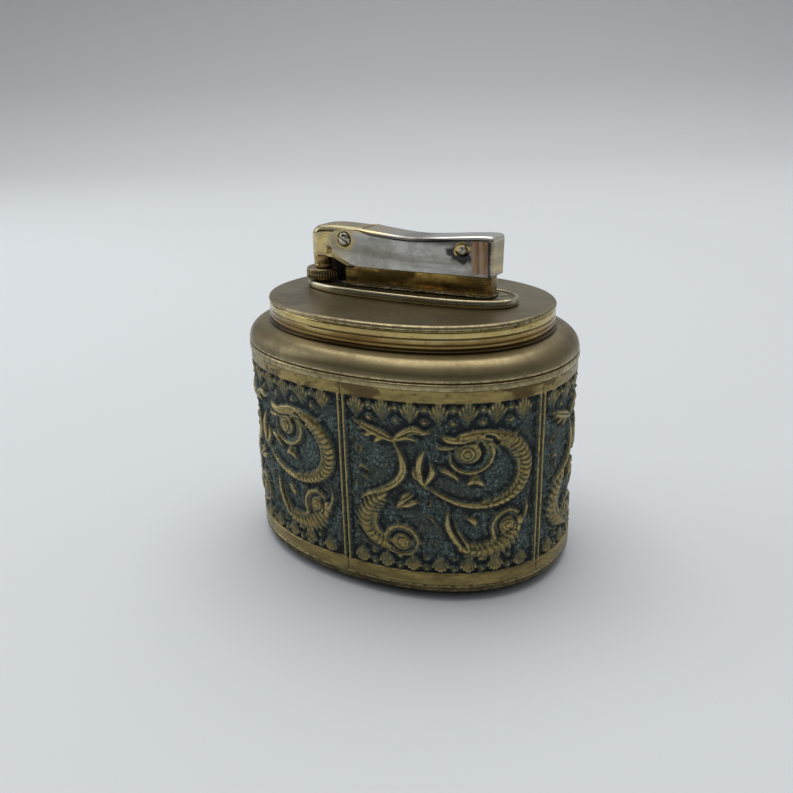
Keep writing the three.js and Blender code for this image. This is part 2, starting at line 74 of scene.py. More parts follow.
# ---------------------------------------------------------------- sizes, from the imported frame

BAND_LOW, BAND_HIGH = mm_box("relief_band")
CASE_LENGTH, CASE_WIDTH = BAND_HIGH[0], BAND_HIGH[1]
CASE_ROUNDNESS = 2.18
CASE_TAPER = 0.83
BASE_LOW, BASE_HIGH = mm_box("base_plate")
SHOULDER_LOW, SHOULDER_HIGH = mm_box("shoulder_ring")
NECK_LOW, NECK_HIGH = mm_box("neck_ring")
PLATE_LOW, PLATE_HIGH = mm_box("top_plate")
FLANGE_LOW, FLANGE_HIGH = mm_box("insert_flange")
TANK_LOW, TANK_HIGH = mm_box("fuel_tank")
SLEEVE_LOW, SLEEVE_HIGH = mm_box("insert_sleeve")
INSERT_ROUNDNESS = 2.5
INSERT_TAPER = 0.75
HOUSING_LOW, HOUSING_HIGH = mm_box("housing")
LEVER_LOW, LEVER_HIGH = mm_box("lever")
NOSE_LOW, _ = mm_box("snuffer")
WHEEL_LOW, WHEEL_HIGH = mm_box("adjuster_wheel")
SHROUD_LOW, SHROUD_HIGH = mm_box("burner_shroud")

PIVOT_X, _, PIVOT_Z = middle("pivot_nut")
RIVET_X, _, RIVET_Z = middle("lever_rivet")
PIN_X, _, PIN_Z = middle("snuffer_pin")
BURNER_X = middle("adjuster_wheel")[0]
NARROWING_FROM, NARROWING = -15.0, 0.00787


def case_width(a):
    return CASE_WIDTH - (CASE_LENGTH - a) * CASE_TAPER


def insert_width(a):
    return FLANGE_HIGH[1] - (FLANGE_HIGH[0] - a) * INSERT_TAPER


def sleeve_width(a):
    return SLEEVE_HIGH[1] - (SLEEVE_HIGH[0] - a)


def narrowed(points):
    """Narrows a shape towards the free end of the lever."""
    points = np.array(points, float)
    points[:, 1] *= 1 - NARROWING * (points[:, 0] - NARROWING_FROM)
    return points


# ---------------------------------------------------------------- mesh helpers

def mesh_of(points, faces):
    """A mesh from points or rings of points in millimetres, with its faces turned outwards."""
    mesh = bpy.data.meshes.new("shape")
    mesh.from_pydata((np.asarray(points, float).reshape(-1, 3) * MM).tolist(), [], faces)
    edit = bmesh.new()
    edit.from_mesh(mesh)
    bmesh.ops.remove_doubles(edit, verts=edit.verts, dist=1e-7)
    bmesh.ops.recalc_face_normals(edit, faces=edit.faces)
    edit.to_mesh(mesh)
    edit.free()
    return mesh


def linked(name, data):
    """A new object in the scene."""
    obj = bpy.data.objects.new(name, data)
    bpy.context.scene.collection.objects.link(obj)
    return obj


def dress(mesh, look, sharp):
    """One material, and smooth shading up to an angle in degrees."""
    mesh.polygons.foreach_set("use_smooth", np.ones(len(mesh.polygons), bool))
    mesh.set_sharp_from_angle(angle=math.radians(sharp))
    mesh.materials.clear()
    mesh.materials.append(LOOKS[look])


def piece(name, mesh, body, look, replaces=(), sharp=32, weighted=False):
    """Puts a mesh in the scene as a piece that rides on a CAD body."""
    mesh.name = name
    obj = linked(name, mesh)
    dress(mesh, look, sharp)
    if weighted:
        obj.modifiers.new("even normals", "WEIGHTED_NORMAL").keep_sharp = True
    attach(obj, body)
    if replaces:
        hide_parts(*replaces)
    return obj


def band_faces(rings, count, closed=False):
    """Quads between rings of equal length. If closed, the last ring joins the first."""
    faces = []
    for k in range(rings if closed else rings - 1):
        low, high = k * count, (k + 1) % rings * count
        for i in range(count):
            j = (i + 1) % count
            faces.append((low + i, low + j, high + j, high + i))
    return faces


def tube_faces(rings, count, closed=False):
    """Quads between rings of equal length, capped at both ends unless closed."""
    last = (rings - 1) * count
    caps = [] if closed else [tuple(range(count)), tuple(range(last, last + count))]
    return band_faces(rings, count, closed) + caps


def strip_cap(first, count):
    """Quads from one long side of a ring straight across to the other."""
    return [(first + i, first + i + 1, first + count - 2 - i, first + count - 1 - i)
            for i in range(count // 2 - 1)]


def beside(a, z, *steps):
    """Points of a profile, each a small step from (a, z)."""
    return [(a + da, z + dz) for da, dz in steps]


def mirrored(half):
    """A profile of (radius, y) from the half that lies at +y."""
    return [(r, -y) for r, y in half[::-1]] + half[1:]


def level(plan, z):
    """A plan of (x, y) set at a height, or at a height for each point."""
    return np.column_stack([plan, np.full(len(plan), z)])


def round_turn(steps):
    return np.linspace(0, 2 * np.pi, steps, endpoint=False)


def rounded_outline(corners, closed=True, arc=6, support=0.12):
    """Rounds the corners of an outline of (x, z, radius) and adds points close to each bend."""
    corners = [np.array(c, float) for c in corners]
    count = len(corners)
    points = []
    for i, corner in enumerate(corners):
        here, radius = corner[:2], corner[2]
        if not closed and i in (0, count - 1):
            points.append(here)
            continue
        before, after = corners[i - 1][:2], corners[(i + 1) % count][:2]
        to_before, to_after = before - here, after - here
        length_before, length_after = np.linalg.norm(to_before), np.linalg.norm(to_after)
        to_before, to_after = to_before / length_before, to_after / length_after
        angle = math.acos(float(np.clip(to_before @ to_after, -1, 1)))
        if radius <= 0 or angle > math.radians(176):
            points.append(here)
            continue
        reach = min(radius / math.tan(angle / 2), 0.48 * length_before, 0.48 * length_after)
        start, end = here + to_before * reach, here + to_after * reach
        if length_before - 2 * reach > 3 * support:
            points.append(start + to_before * support)
        for k in range(arc + 1):
            t = k / arc
            points.append((1 - t) ** 2 * start + 2 * t * (1 - t) * here + t * t * end)
        if length_after - 2 * reach > 3 * support:
            points.append(end + to_after * support)
    return np.array(points)


def oval_point(t, a, b, roundness):
    c, s = np.cos(t), np.sin(t)
    power = 2 / roundness
    return np.stack([a * np.sign(c) * np.abs(c) ** power, b * np.sign(s) * np.abs(s) ** power], 1)


def oval_ring(a, b, roundness):
    return oval_point(round_turn(SMOOTH_STEPS), a, b, roundness)


def oval_mesh(profile, width_of, roundness, closed=True):
    """Sweeps a profile of (half length, z) round an oval. An open profile is capped at both ends."""
    return mesh_of([level(oval_ring(a, width_of(a), roundness), z) for a, z in profile],
                   tube_faces(len(profile), SMOOTH_STEPS, closed))


def turned_mesh(profile, centre, axis="z", closed=True, steps=96):
    """Turns a profile of (radius, height) round a line through centre."""
    t = round_turn(steps)
    points = np.concatenate([level(np.column_stack([r * np.cos(t), r * np.sin(t)]), h) for r, h in profile])
    if axis == "y":
        points = points[:, [0, 2, 1]]
    return mesh_of(points + np.array(centre), tube_faces(len(profile), steps, closed))


def catmull(points, per_span=8):
    """A smooth curve through points of any dimension."""
    p = np.array(points, float)
    p = np.vstack([2 * p[0] - p[1], p, 2 * p[-1] - p[-2]])
    out = []
    for i in range(1, len(p) - 2):
        for k in range(per_span):
            t = k / per_span
            out.append(0.5 * (2 * p[i] + (p[i + 1] - p[i - 1]) * t
                              + (2 * p[i - 1] - 5 * p[i] + 4 * p[i + 1] - p[i + 2]) * t ** 2
                              + (3 * p[i] - p[i - 1] - 3 * p[i + 1] + p[i + 2]) * t ** 3))
    out.append(p[-2])
    return np.array(out)


def inward(outline):
    """Unit normals pointing into a closed outline of (x, z)."""
    ahead, behind = np.roll(outline, -1, 0), np.roll(outline, 1, 0)
    area = np.sum(outline[:, 0] * ahead[:, 1] - ahead[:, 0] * outline[:, 1]) / 2
    edge_in, edge_out = outline - behind, ahead - outline
    edge_in /= np.linalg.norm(edge_in, axis=1, keepdims=True) + 1e-12
    edge_out /= np.linalg.norm(edge_out, axis=1, keepdims=True) + 1e-12
    tangent = edge_in + edge_out
    tangent /= np.linalg.norm(tangent, axis=1, keepdims=True) + 1e-12
    normal = np.stack([-tangent[:, 1], tangent[:, 0]], 1)
    return normal * (1 if area > 0 else -1)


def rounded_block(outline, fillet, y0, y1, arc=6, support=0.1):
    """A plate with the outline in X and Z between y0 and y1, its rims rounded by fillet."""
    outline = np.array(outline, float)
    fillet = np.broadcast_to(np.asarray(fillet, float), (len(outline),))
    normal = inward(outline)
    half = [(fillet + support, np.zeros_like(fillet))]
    for k in range(arc + 1):
        angle = k / arc * math.pi / 2
        half.append((fillet * (1 - math.sin(angle)), fillet * (1 - math.cos(angle))))
    half.append((np.zeros_like(fillet), fillet + support))
    rings = []
    for side, order in ((y0, half), (y1, half[::-1])):
        direction = 1 if side == y0 else -1
        for inset, rise in order:
            at = outline + normal * inset[:, None]
            rings.append(np.column_stack([at[:, 0], side + direction * rise, at[:, 1]]))
    return np.concatenate(rings), tube_faces(len(rings), len(outline))


def prism(outline, y0, y1):
    """A straight plate with the outline in X and Z."""
    outline = np.array(outline, float)
    rings = [level(outline, y)[:, [0, 2, 1]] for y in (y0, y1)]
    return np.concatenate(rings), tube_faces(2, len(outline))


def carve(base, tools, operation="DIFFERENCE"):
    """The base mesh with the tool meshes cut away, or kept only where they overlap."""
    objects = [linked("carving", mesh) for mesh in (base, *tools)]
    for tool in objects[1:]:
        cutter = objects[0].modifiers.new("cut", "BOOLEAN")
        cutter.operation, cutter.object, cutter.solver = operation, tool, "EXACT"
    view = bpy.context.evaluated_depsgraph_get()
    result = bpy.data.meshes.new_from_object(objects[0].evaluated_get(view))
    for obj in objects:
        mesh = obj.data
        bpy.data.objects.remove(obj)
        bpy.data.meshes.remove(mesh)
    return result


CUT_REACH = 6
CUT_STEPS = 64


def rod(radius, x, z):
    """A plain cutting rod along Y, right through the insert."""
    return turned_mesh([(radius, -CUT_REACH), (radius, CUT_REACH)], (x, 0, z), "y", False, CUT_STEPS)


def ball(centre, radii):
    """A cutting ellipsoid."""
    profile = [(math.sin(a), -math.cos(a)) for a in np.linspace(0.02, math.pi - 0.02, CUT_STEPS // 2)]
    mesh = turned_mesh(profile, (0, 0, 0), "y", False, CUT_STEPS)
    for vertex in mesh.vertices:
        vertex.co = Vector([vertex.co[i] * radii[i] + centre[i] * MM for i in range(3)])
    return mesh


# ---------------------------------------------------------------- materials

class Signal:
    """A value in a node tree, which adds, multiplies and eases like a number."""

    def __init__(self, nodes, socket):
        self.nodes, self.socket = nodes, socket

    def __add__(self, other):
        return self.nodes.maths("ADD", self, other)

    def __sub__(self, other):
        return self.nodes.maths("SUBTRACT", self, other)

    def __mul__(self, other):
        return self.nodes.maths("MULTIPLY", self, other)

    def between(self, low, high, to_low=0.0, to_high=1.0):
        """Eases from to_low to to_high while the value goes from low to high."""
        node = self.nodes.node("ShaderNodeMapRange", interpolation_type="SMOOTHSTEP")
        self.nodes.link(self, node.inputs["Value"])
        for key, value in (("From Min", low), ("From Max", high), ("To Min", to_low), ("To Max", to_high)):
            node.inputs[key].default_value = value
        return Signal(self.nodes, node.outputs["Result"])


class Nodes:
    """A node tree in the making. Places and noise are counted in units of so many metres."""

    def __init__(self, tree, place, unit):
        self.tree, self.unit = tree, unit
        self.place = tree.nodes.new("ShaderNodeTexCoord").outputs[place]

    def node(self, kind, **values):
        node = self.tree.nodes.new(kind)
        for key, value in values.items():
            setattr(node, key, value)
        return node

    def link(self, source, socket):
        if isinstance(source, (int, float)):
            socket.default_value = source
        elif isinstance(source, tuple):
            socket.default_value = (*source, 1.0)
        else:
            self.tree.links.new(source.socket if isinstance(source, Signal) else source, socket)

    def stretched(self, stretch):
        mapping = self.node("ShaderNodeMapping")
        self.link(self.place, mapping.inputs["Vector"])
        mapping.inputs["Scale"].default_value = [1 / s for s in stretch]
        return mapping.outputs["Vector"]

    def noise(self, scale, detail, rough=0.55, stretch=(1, 1, 1), warp=0.0):
        node = self.node("ShaderNodeTexNoise")
        self.link(self.stretched(stretch), node.inputs["Vector"])
        for key, value in (("Scale", scale / self.unit), ("Detail", detail), ("Roughness", rough),
                           ("Distortion", warp)):
            node.inputs[key].default_value = value
        return Signal(self, node.outputs["Fac"])

    def uneven(self, scale, detail, reach, **noise):
        """A slow wander between -reach and reach, which makes an edge ragged."""
        return self.noise(scale, detail, **noise).between(0.3, 0.7, -reach, reach)

    def cells(self, scale):
        node = self.node("ShaderNodeTexVoronoi")
        self.link(self.place, node.inputs["Vector"])
        node.inputs["Scale"].default_value = scale / self.unit
        return Signal(self, node.outputs["Distance"])

    def ramp(self, source, *stops):
        node = self.node("ShaderNodeValToRGB")
        self.link(source, node.inputs["Fac"])
        elements = node.color_ramp.elements
        while len(elements) < len(stops):
            elements.new(0.5)
        for element, (at, colour) in zip(elements, stops):
            element.position, element.color = at, (*colour, 1)
        return Signal(self, node.outputs["Color"])

    def blend(self, amount, first, second):
        node = self.node("ShaderNodeMix", data_type="RGBA")
        self.link(amount, node.inputs["Factor"])
        self.link(first, node.inputs[6])
        self.link(second, node.inputs[7])
        return Signal(self, node.outputs[2])

    def maths(self, operation, first, second=0.0, clamp=False):
        node = self.node("ShaderNodeMath", operation=operation, use_clamp=clamp)
        self.link(first, node.inputs[0])
        self.link(second, node.inputs[1])
        return Signal(self, node.outputs[0])

    def length(self, dx, dz):
        return self.maths("SQRT", dx * dx + dz * dz)

    def axis(self, name):
        """The place along one axis, in units."""
        node = self.node("ShaderNodeSeparateXYZ")
        self.link(self.place, node.inputs[0])
        return Signal(self, node.outputs[name]) * (1 / self.unit)


class Look(Nodes):
    """A metal or other surface, in millimetres."""

    def __init__(self, name):
        self.material = bpy.data.materials.new(name)
        self.material.use_nodes = True
        super().__init__(self.material.node_tree, "Object", MM)
        self.shader = self.tree.nodes["Principled BSDF"]
        self.bumps = None

    def attribute(self, name):
        return Signal(self, self.node("ShaderNodeAttribute", attribute_name=name).outputs["Fac"])

    def stain(self, colour, mask, strength, tint):
        return self.blend(mask * strength, colour, tint)

    def bump(self, height, depth_mm, strength):
        node = self.node("ShaderNodeBump")
        self.link(height, node.inputs["Height"])
        node.inputs["Strength"].default_value = strength
        node.inputs["Distance"].default_value = depth_mm * MM
        if self.bumps is not None:
            self.link(self.bumps, node.inputs["Normal"])
        self.bumps = node.outputs["Normal"]

    def finish(self, colour, roughness, metallic=1.0, **plain):
        self.link(colour, self.shader.inputs["Base Color"])
        self.link(roughness, self.shader.inputs["Roughness"])
        self.link(metallic, self.shader.inputs["Metallic"])
        for key, value in plain.items():
            self.shader.inputs[key].default_value = value
        if self.bumps is not None:
            self.link(self.bumps, self.shader.inputs["Normal"])
        return self.material


SPECK = (0.05, 0.04, 0.025)
BROWN = (0.10, 0.065, 0.028)


def metal(name, bright, dull, rough, patch, cover=(0.4, 0.62), spots=0.35, grain=(1, 1, 1), scratch=0.35,
          dents=0.012, extra=None):
    """Worn metal: patches of dull tarnish, dark specks, fine scratches and slight unevenness.

    patch is the size of the patches as noise per millimetre, and grain stretches the scratches.
    extra(look, colour, roughness) may add what only one part has."""
    look = Look(name)
    tarnish = look.noise(patch, 7, 0.62, warp=0.4).between(*cover)
    mottle = look.noise(1.3, 5, 0.6)
    colour = look.blend(tarnish, bright, dull)
    colour = look.blend(mottle.between(0.3, 0.75, 0.0, 0.3), colour, dull)
    specks = look.noise(2.6, 3, 0.7).between(0.64, 0.72) * look.noise(0.35, 3).between(0.42, 0.62, 0.15, 1.0)
    colour = look.stain(colour, specks, spots, SPECK)
    roughness = tarnish.between(0, 1, *rough) + mottle.between(0.3, 0.8, -0.03, 0.08) + specks * 0.25
    look.bump(look.noise(0.25, 3), dents * 2.5, 0.5)
    look.bump(look.noise(3.0, 3, 0.5, stretch=grain), 0.004, scratch)
    look.bump(look.noise(5.0, 4, 0.65), 0.003, 0.35)
    if extra:
        colour, roughness = extra(look, colour, roughness)
    return look.finish(colour, roughness)


def rim_wear(look, colour, roughness):
    """Brighter brass where hands rub the rims, darker in the grooves."""
    bend = look.attribute("bend")
    rub = bend.between(0.55, 0.85) * look.noise(0.9, 5, 0.65).between(0.35, 0.6)
    groove = bend.between(0.42, 0.2)
    colour = look.stain(colour, rub, 0.75, (0.60, 0.50, 0.27))
    colour = look.stain(colour, groove, 0.8, BROWN)
    roughness = look.maths("SUBTRACT", roughness, rub * 0.1, clamp=True)
    return colour, look.maths("ADD", roughness, groove * 0.3, clamp=True)


def base_shade(look, colour, roughness):
    """Rim wear, and painted shade darkening the lower edge of the base towards the floor."""
    colour, roughness = rim_wear(look, colour, roughness)
    # painted shade: the lower edge goes near black where the base meets the floor
    low = look.axis("Z") + look.uneven(0.5, 4, 0.15)
    low = low.between(BASE_LOW[2] + 1.7, BASE_LOW[2] + 1.0)
    return look.blend(low, colour, (0.016, 0.013, 0.009)), roughness


def relief_look():
    """Embossed brass: rubbed figures on a dark, grainy, blue-green ground with painted shade beside them, and
    plain worn borders.
    """
    look = Look("relief_brass")
    height, ridge, hollow, border = (look.attribute(name) for name in ("relief", "ridge", "hollow", "border"))
    grain = look.noise(1.7, 6, 0.75)
    ground = look.ramp(grain, (0.36, (0.010, 0.018, 0.018)), (0.47, (0.036, 0.058, 0.052)),
                       (0.56, (0.10, 0.145, 0.13)), (0.66, (0.32, 0.38, 0.34)))
    ground = look.blend(look.noise(0.16, 4, 0.6).between(0.42, 0.62, 0, 0.5), ground, (0.045, 0.052, 0.035))
    # painted shade: the ground goes near black where it lies lower than its surroundings, beside the figures
    cavity_shade = (hollow + grain.between(0.3, 0.7, -0.05, 0.05)).between(0.42, 0.24)
    ground = look.stain(ground, cavity_shade, 0.9, (0.004, 0.006, 0.008))

    ragged = height + look.noise(1.5, 6, 0.75).between(0.25, 0.75, -0.2, 0.2)
    exposed = ragged.between(0.36, 0.92) * ridge.between(0.30, 0.52)
    patches = look.noise(0.45, 5, 0.65).between(0.38, 0.62)
    brass = look.blend(patches, (0.27, 0.20, 0.075), (0.145, 0.12, 0.052))
    brass = look.blend(look.noise(0.3, 4, 0.6).between(0.58, 0.68, 0, 0.55), brass, (0.26, 0.145, 0.05))
    # brighter brass on the highest ridges: rubbed wear, with a painted highlight on top of it
    brass = look.stain(brass, height.between(0.6, 0.95) * ridge.between(0.5, 0.72), 0.8, (0.52, 0.41, 0.18))
    brass = look.blend(look.noise(1.6, 6, 0.75).between(0.52, 0.64, 0, 0.8), brass, (0.035, 0.048, 0.038))
    colour = look.blend(exposed, ground, brass)

    rubbed = look.noise(0.5, 6, 0.62, stretch=(3, 3, 0.7), warp=0.3)
    plain = look.blend(rubbed.between(0.35, 0.65), (0.35, 0.265, 0.10), (0.20, 0.155, 0.065))
    brown = look.noise(0.11, 5, 0.6, stretch=(1, 1, 0.5)).between(0.5, 0.58)
    brown = brown * look.axis("Z").between(40.0, 44.0, 0.25, 0.85)
    plain = look.blend(brown, plain, (0.085, 0.055, 0.026))
    chips = look.noise(1.4, 5, 0.7, stretch=(1.6, 1.6, 1)).between(0.6, 0.66, 0, 0.75)
    plain = look.blend(chips, plain, (0.06, 0.055, 0.035))
    border = border * ridge.between(0.36, 0.48)
    colour = look.blend(border, colour, plain)

    roughness = exposed.between(0, 1, 0.66, 0.34) + grain.between(0.3, 0.7, -0.06, 0.08) - border * 0.04
    metallic = look.maths("MAXIMUM", exposed, border).between(0, 0.6, 0.2, 1.0)
    look.bump(look.noise(0.9, 5, 0.7), 0.1, 0.4)
    look.bump(grain, 0.06, 0.5)
    return look.finish(colour, roughness, metallic)


def lever_stains_and_painted_light(look, colour, roughness):
    """Brass through the chrome near the split and the rivet, a painted highlight along the top, a painted
    dark reflection along the upper side, a painted dark reflection by the rivet, a painted brown reflection
    band near the end, a painted dark line at the end, and a halo with painted shade in the pivot's recess.
    """
    x, z = look.axis("X"), look.axis("Z")
    cloud = look.noise(0.3, 5, 0.6).between(0.25, 0.6, 0.45, 1.0)
    worn = x.between(0.5, -7.0) * z.between(71.3, 72.0) * cloud
    end = x.between(21.05, 21.4) * look.axis("Y").between(-3.6, -3.0)
    worn = look.maths("MAXIMUM", worn, x.between(-10.0, -16.5) * 0.55)
    colour = look.stain(colour, look.maths("MAXIMUM", worn, end), 0.9, (0.56, 0.42, 0.17))
    # painted highlight: the top of the lever is lightened to a pale grey
    top_highlight = z.between(71.2, 71.8) * x.between(-4.0, 4.0, 0.15, 0.7)
    colour = look.blend(top_highlight, colour, (0.74, 0.73, 0.66))
    side = z.between(71.9, 71.4)
    streaks = look.noise(0.16, 6, 0.6, stretch=(7, 7, 1), warp=0.5)
    colour = look.blend(streaks.between(0.42, 0.6, 0, 0.75) * side, colour, (0.20, 0.185, 0.15))
    # painted dark reflection: a dark band on the upper part of the side, strongest towards the end
    dark_reflection = (x - 14.0) * 0.1 + (z - 70.2) + look.uneven(0.2, 4, 0.8, rough=0.6, stretch=(3, 3, 1))
    dark_reflection = dark_reflection.between(-1.7, 0.3) * x.between(-9.0, 4.0, 0.2, 1.0) * side * x.between(21.4, 20.9)
    colour = look.stain(colour, dark_reflection, 0.88, (0.075, 0.068, 0.055))

    dx, dz = x - RIVET_X, (z - RIVET_Z) * 1.2
    away = look.length(dx, dz) + look.uneven(0.7, 3, 0.4)
    low_left = dx * 0.45 + dz
    # painted dark reflection: a near black blotch beside the rivet
    rivet_dark_reflection = (away + low_left).between(2.9, 1.4) * side * away.between(3.8, 2.9)
    colour = look.stain(colour, rivet_dark_reflection, 0.92, (0.018, 0.018, 0.018))
    gold = away.between(2.1, 1.7) * side * (low_left - dx).between(-1.6, 0.3)
    colour = look.blend(gold, colour, (0.60, 0.43, 0.16))

    # painted reflection: a brown-red upright band on the side near the end
    ragged = look.uneven(0.9, 4, 0.22, rough=0.6)
    here = x + ragged
    band = here.between(16.6, 17.1) * here.between(20.9, 20.5) * (z + ragged).between(64.6, 65.3)
    brown_reflection = look.noise(1.1, 3, 0.5, stretch=(1, 1, 14)).between(0.35, 0.65)
    brown_reflection = look.blend(brown_reflection, (0.15, 0.078, 0.042), (0.30, 0.20, 0.125))
    colour = look.stain(colour, band * z.between(71.95, 71.6), 0.93, brown_reflection)
    # painted shade: a thin dark line down the side where it turns into the rounded end
    line = x.between(20.3, 20.6) * x.between(21.1, 20.85) * side
    colour = look.stain(colour, line, 0.85, (0.02, 0.018, 0.015))

    away = look.length(x - PIVOT_X, z - PIVOT_Z)
    halo = (away + look.uneven(0.8, 3, 0.4)).between(3.0, 1.9)
    colour = look.stain(colour, halo, 0.7, (0.50, 0.37, 0.14))
    # painted shade: dark inside the recess round the pivot screw
    return look.blend(away.between(1.66, 1.58), colour, (0.07, 0.05, 0.02)), roughness


def nose_stains(look, colour, roughness):
    """Pale gilt sides with clouded patches under a satin, rubbed top, and soot at the lower edge."""
    z = look.axis("Z")
    cloud = look.noise(0.32, 5, 0.6, warp=0.5).between(0.44, 0.6)
    colour = look.stain(colour, cloud, 0.7, (0.40, 0.36, 0.24))
    rubbed = (z + look.uneven(0.5, 4, 0.25)).between(71.4, 72.2)
    colour = look.stain(colour, rubbed, 0.9, (0.37, 0.33, 0.205))
    soot = (z + look.uneven(0.8, 4, 0.5)).between(66.9, 65.3)
    return look.stain(colour, soot, 0.7, BROWN), roughness + rubbed * 0.12


def housing_stains(look, colour, roughness):
    """Gilt gone brown in streaks, with grime where it meets the flange."""
    streak = look.noise(0.2, 6, 0.62, stretch=(3.4, 3.4, 0.8), warp=0.5).between(0.42, 0.58)
    colour = look.stain(colour, streak, 0.88, (0.055, 0.035, 0.012))
    glow = look.noise(0.15, 4, 0.6, stretch=(2, 2, 1)).between(0.56, 0.66)
    colour = look.stain(colour, glow, 0.7, (0.42, 0.17, 0.035))
    foot = (look.axis("Z") + look.uneven(1.2, 4, 0.5)).between(61.2, 60.4)
    return look.stain(colour, foot, 0.7, (0.16, 0.13, 0.07)), roughness + foot * 0.3


def heat_tint(look, colour, roughness):
    """Copper and brown heat colours round the flame."""
    hot = (look.axis("Z") + look.uneven(0.6, 4, 0.5)).between(63.6, 65.4)
    colour = look.stain(colour, hot, 0.35, (0.42, 0.20, 0.07))
    soot = look.noise(0.7, 5).between(0.5, 0.62)
    return look.stain(colour, soot, 0.6, (0.05, 0.035, 0.025)), roughness


def neck_tarnish_and_painted_light(look, colour, roughness):
    """Polished brass with brown blotches and flecks, worn rims, a painted dark reflection low on the front,
    and painted shadow at the foot.
    """
    colour, roughness = rim_wear(look, colour, roughness)
    z, low, high = look.axis("Z"), NECK_LOW[2], NECK_HIGH[2]
    blotch = look.noise(0.06, 6, 0.55, stretch=(1.6, 1.6, 0.5), warp=0.5).between(0.40, 0.56)
    blotch = blotch * look.axis("X").between(-14, 6, 0.15, 1.0) * z.between(high - 0.6, high - 2.2, 0.3, 1)
    colour = look.stain(colour, blotch, 0.8, (0.21, 0.105, 0.028))
    fleck = look.noise(0.9, 5, 0.7, stretch=(3, 3, 1)).between(0.58, 0.66)
    colour = look.stain(colour, fleck, 0.7, (0.05, 0.035, 0.015))
    # painted dark reflection: a brown band low on the front of the neck
    front_dark_reflection = (z + look.uneven(0.12, 4, 0.5, rough=0.5)).between(low + 3.1, low + 1.9)
    colour = look.blend(front_dark_reflection * look.axis("Y").between(-8.0, -16.0, 0.2, 0.75), colour, (0.15, 0.085, 0.026))
    # painted shadow: the foot of the neck goes near black where it sinks into the shoulder
    colour = look.stain(colour, z.between(low + 1.0, low + 0.2), 0.92, (0.012, 0.01, 0.006))
    return colour, roughness + blotch * 0.06


SATIN = {"grain": (12, 12, 1), "spots": 0.6, "scratch": 0.5, "extra": rim_wear}
# name: bright colour, dull colour, least and most roughness, size of the patches, what else differs
METALS = {
    "aged_brass": ((0.25, 0.205, 0.118), (0.155, 0.128, 0.078), (0.34, 0.43), 0.07, SATIN),
    # lighter than aged_brass as painted light for the shoulder's brighter sheen, and a little yellower
    "shoulder_brass": ((0.30, 0.243, 0.13), (0.18, 0.146, 0.08), (0.35, 0.45), 0.07, SATIN),
    "base_brass": ((0.15, 0.115, 0.052), (0.075, 0.06, 0.032), (0.36, 0.5), 0.2,
                   {"grain": (9, 9, 1), "spots": 0.6, "extra": base_shade}),
    "plain_brass": ((0.62, 0.47, 0.20), (0.33, 0.285, 0.165), (0.26, 0.4), 0.2, {"grain": (1, 1, 6)}),
    "bright_brass": ((0.56, 0.43, 0.15), (0.38, 0.285, 0.095), (0.12, 0.2), 0.1,
                     {"grain": (10, 10, 1), "spots": 0.5, "scratch": 0.3, "extra": neck_tarnish_and_painted_light}),
    "plain_gilt": ((0.62, 0.46, 0.18), (0.42, 0.31, 0.12), (0.2, 0.32), 0.3, {}),
    "worn_gilt": ((0.36, 0.30, 0.17), (0.13, 0.105, 0.06), (0.3, 0.46), 0.35,
                  {"cover": (0.42, 0.56), "spots": 0.85, "dents": 0.03}),
    "gold_nose": ((0.72, 0.58, 0.27), (0.55, 0.42, 0.18), (0.15, 0.26), 0.2,
                  {"grain": (7, 7, 1), "spots": 0.25, "extra": nose_stains}),
    "gold_housing": ((0.44, 0.29, 0.08), (0.26, 0.155, 0.035), (0.14, 0.28), 0.22,
                     {"grain": (8, 8, 1), "spots": 0.5, "extra": housing_stains}),
    "worn_chrome": ((0.53, 0.51, 0.47), (0.40, 0.38, 0.33), (0.14, 0.24), 0.12,
                    {"grain": (14, 1, 1), "spots": 0.2, "scratch": 0.4, "extra": lever_stains_and_painted_light}),
    "nickel": ((0.56, 0.52, 0.38), (0.33, 0.28, 0.17), (0.14, 0.30), 0.2,
               {"grain": (8, 8, 1), "spots": 0.6, "extra": rim_wear}),
    "steel": ((0.58, 0.57, 0.55), (0.40, 0.38, 0.34), (0.22, 0.4), 0.3, {}),
    # soot: nearly black, used for the wheel guard cheeks, partly painted shade
    "soot": ((0.030, 0.025, 0.021), (0.010, 0.008, 0.007), (0.5, 0.65), 0.2, {}),
    "sooty_steel": ((0.16, 0.14, 0.12), (0.05, 0.042, 0.034), (0.34, 0.5), 0.3, {}),
    "screw_steel": ((0.60, 0.57, 0.49), (0.36, 0.31, 0.22), (0.16, 0.3), 0.5, {"spots": 0.5}),
    "copper": ((0.56, 0.44, 0.21), (0.36, 0.26, 0.11), (0.18, 0.32), 0.3, {"extra": heat_tint}),
    "dark_brass": ((0.30, 0.215, 0.10), (0.12, 0.088, 0.042), (0.26, 0.42), 0.3,
                   {"spots": 0.6, "extra": rim_wear}),
}


def felt_look():
    felt = Look("felt")
    fuzz = felt.noise(4.0, 6, 0.75, stretch=(1, 1, 3))
    felt.bump(fuzz, 0.12, 0.9)
    felt.bump(felt.cells(2.4), 0.08, 0.5)
    colour = felt.ramp(fuzz, (0.3, (0.010, 0.008, 0.006)), (0.7, (0.045, 0.036, 0.027)))
    return felt.finish(colour, fuzz.between(0.3, 0.7, 0.85, 1.0), 0.0, **{"Sheen Weight": 0.3})


def gritty_look(name, grain, bump, stops, rough, metallic):
    """A plain rough surface coloured and roughened by one noise."""
    look = Look(name)
    grit = look.noise(*grain)
    look.bump(grit, *bump)
    return look.finish(look.ramp(grit, *stops), grit.between(0.3, 0.7, *rough), metallic)


LOOKS = {name: metal(name, *values, **more) for name, (*values, more) in METALS.items()}
LOOKS["relief_brass"] = relief_look()
LOOKS["felt"] = felt_look()
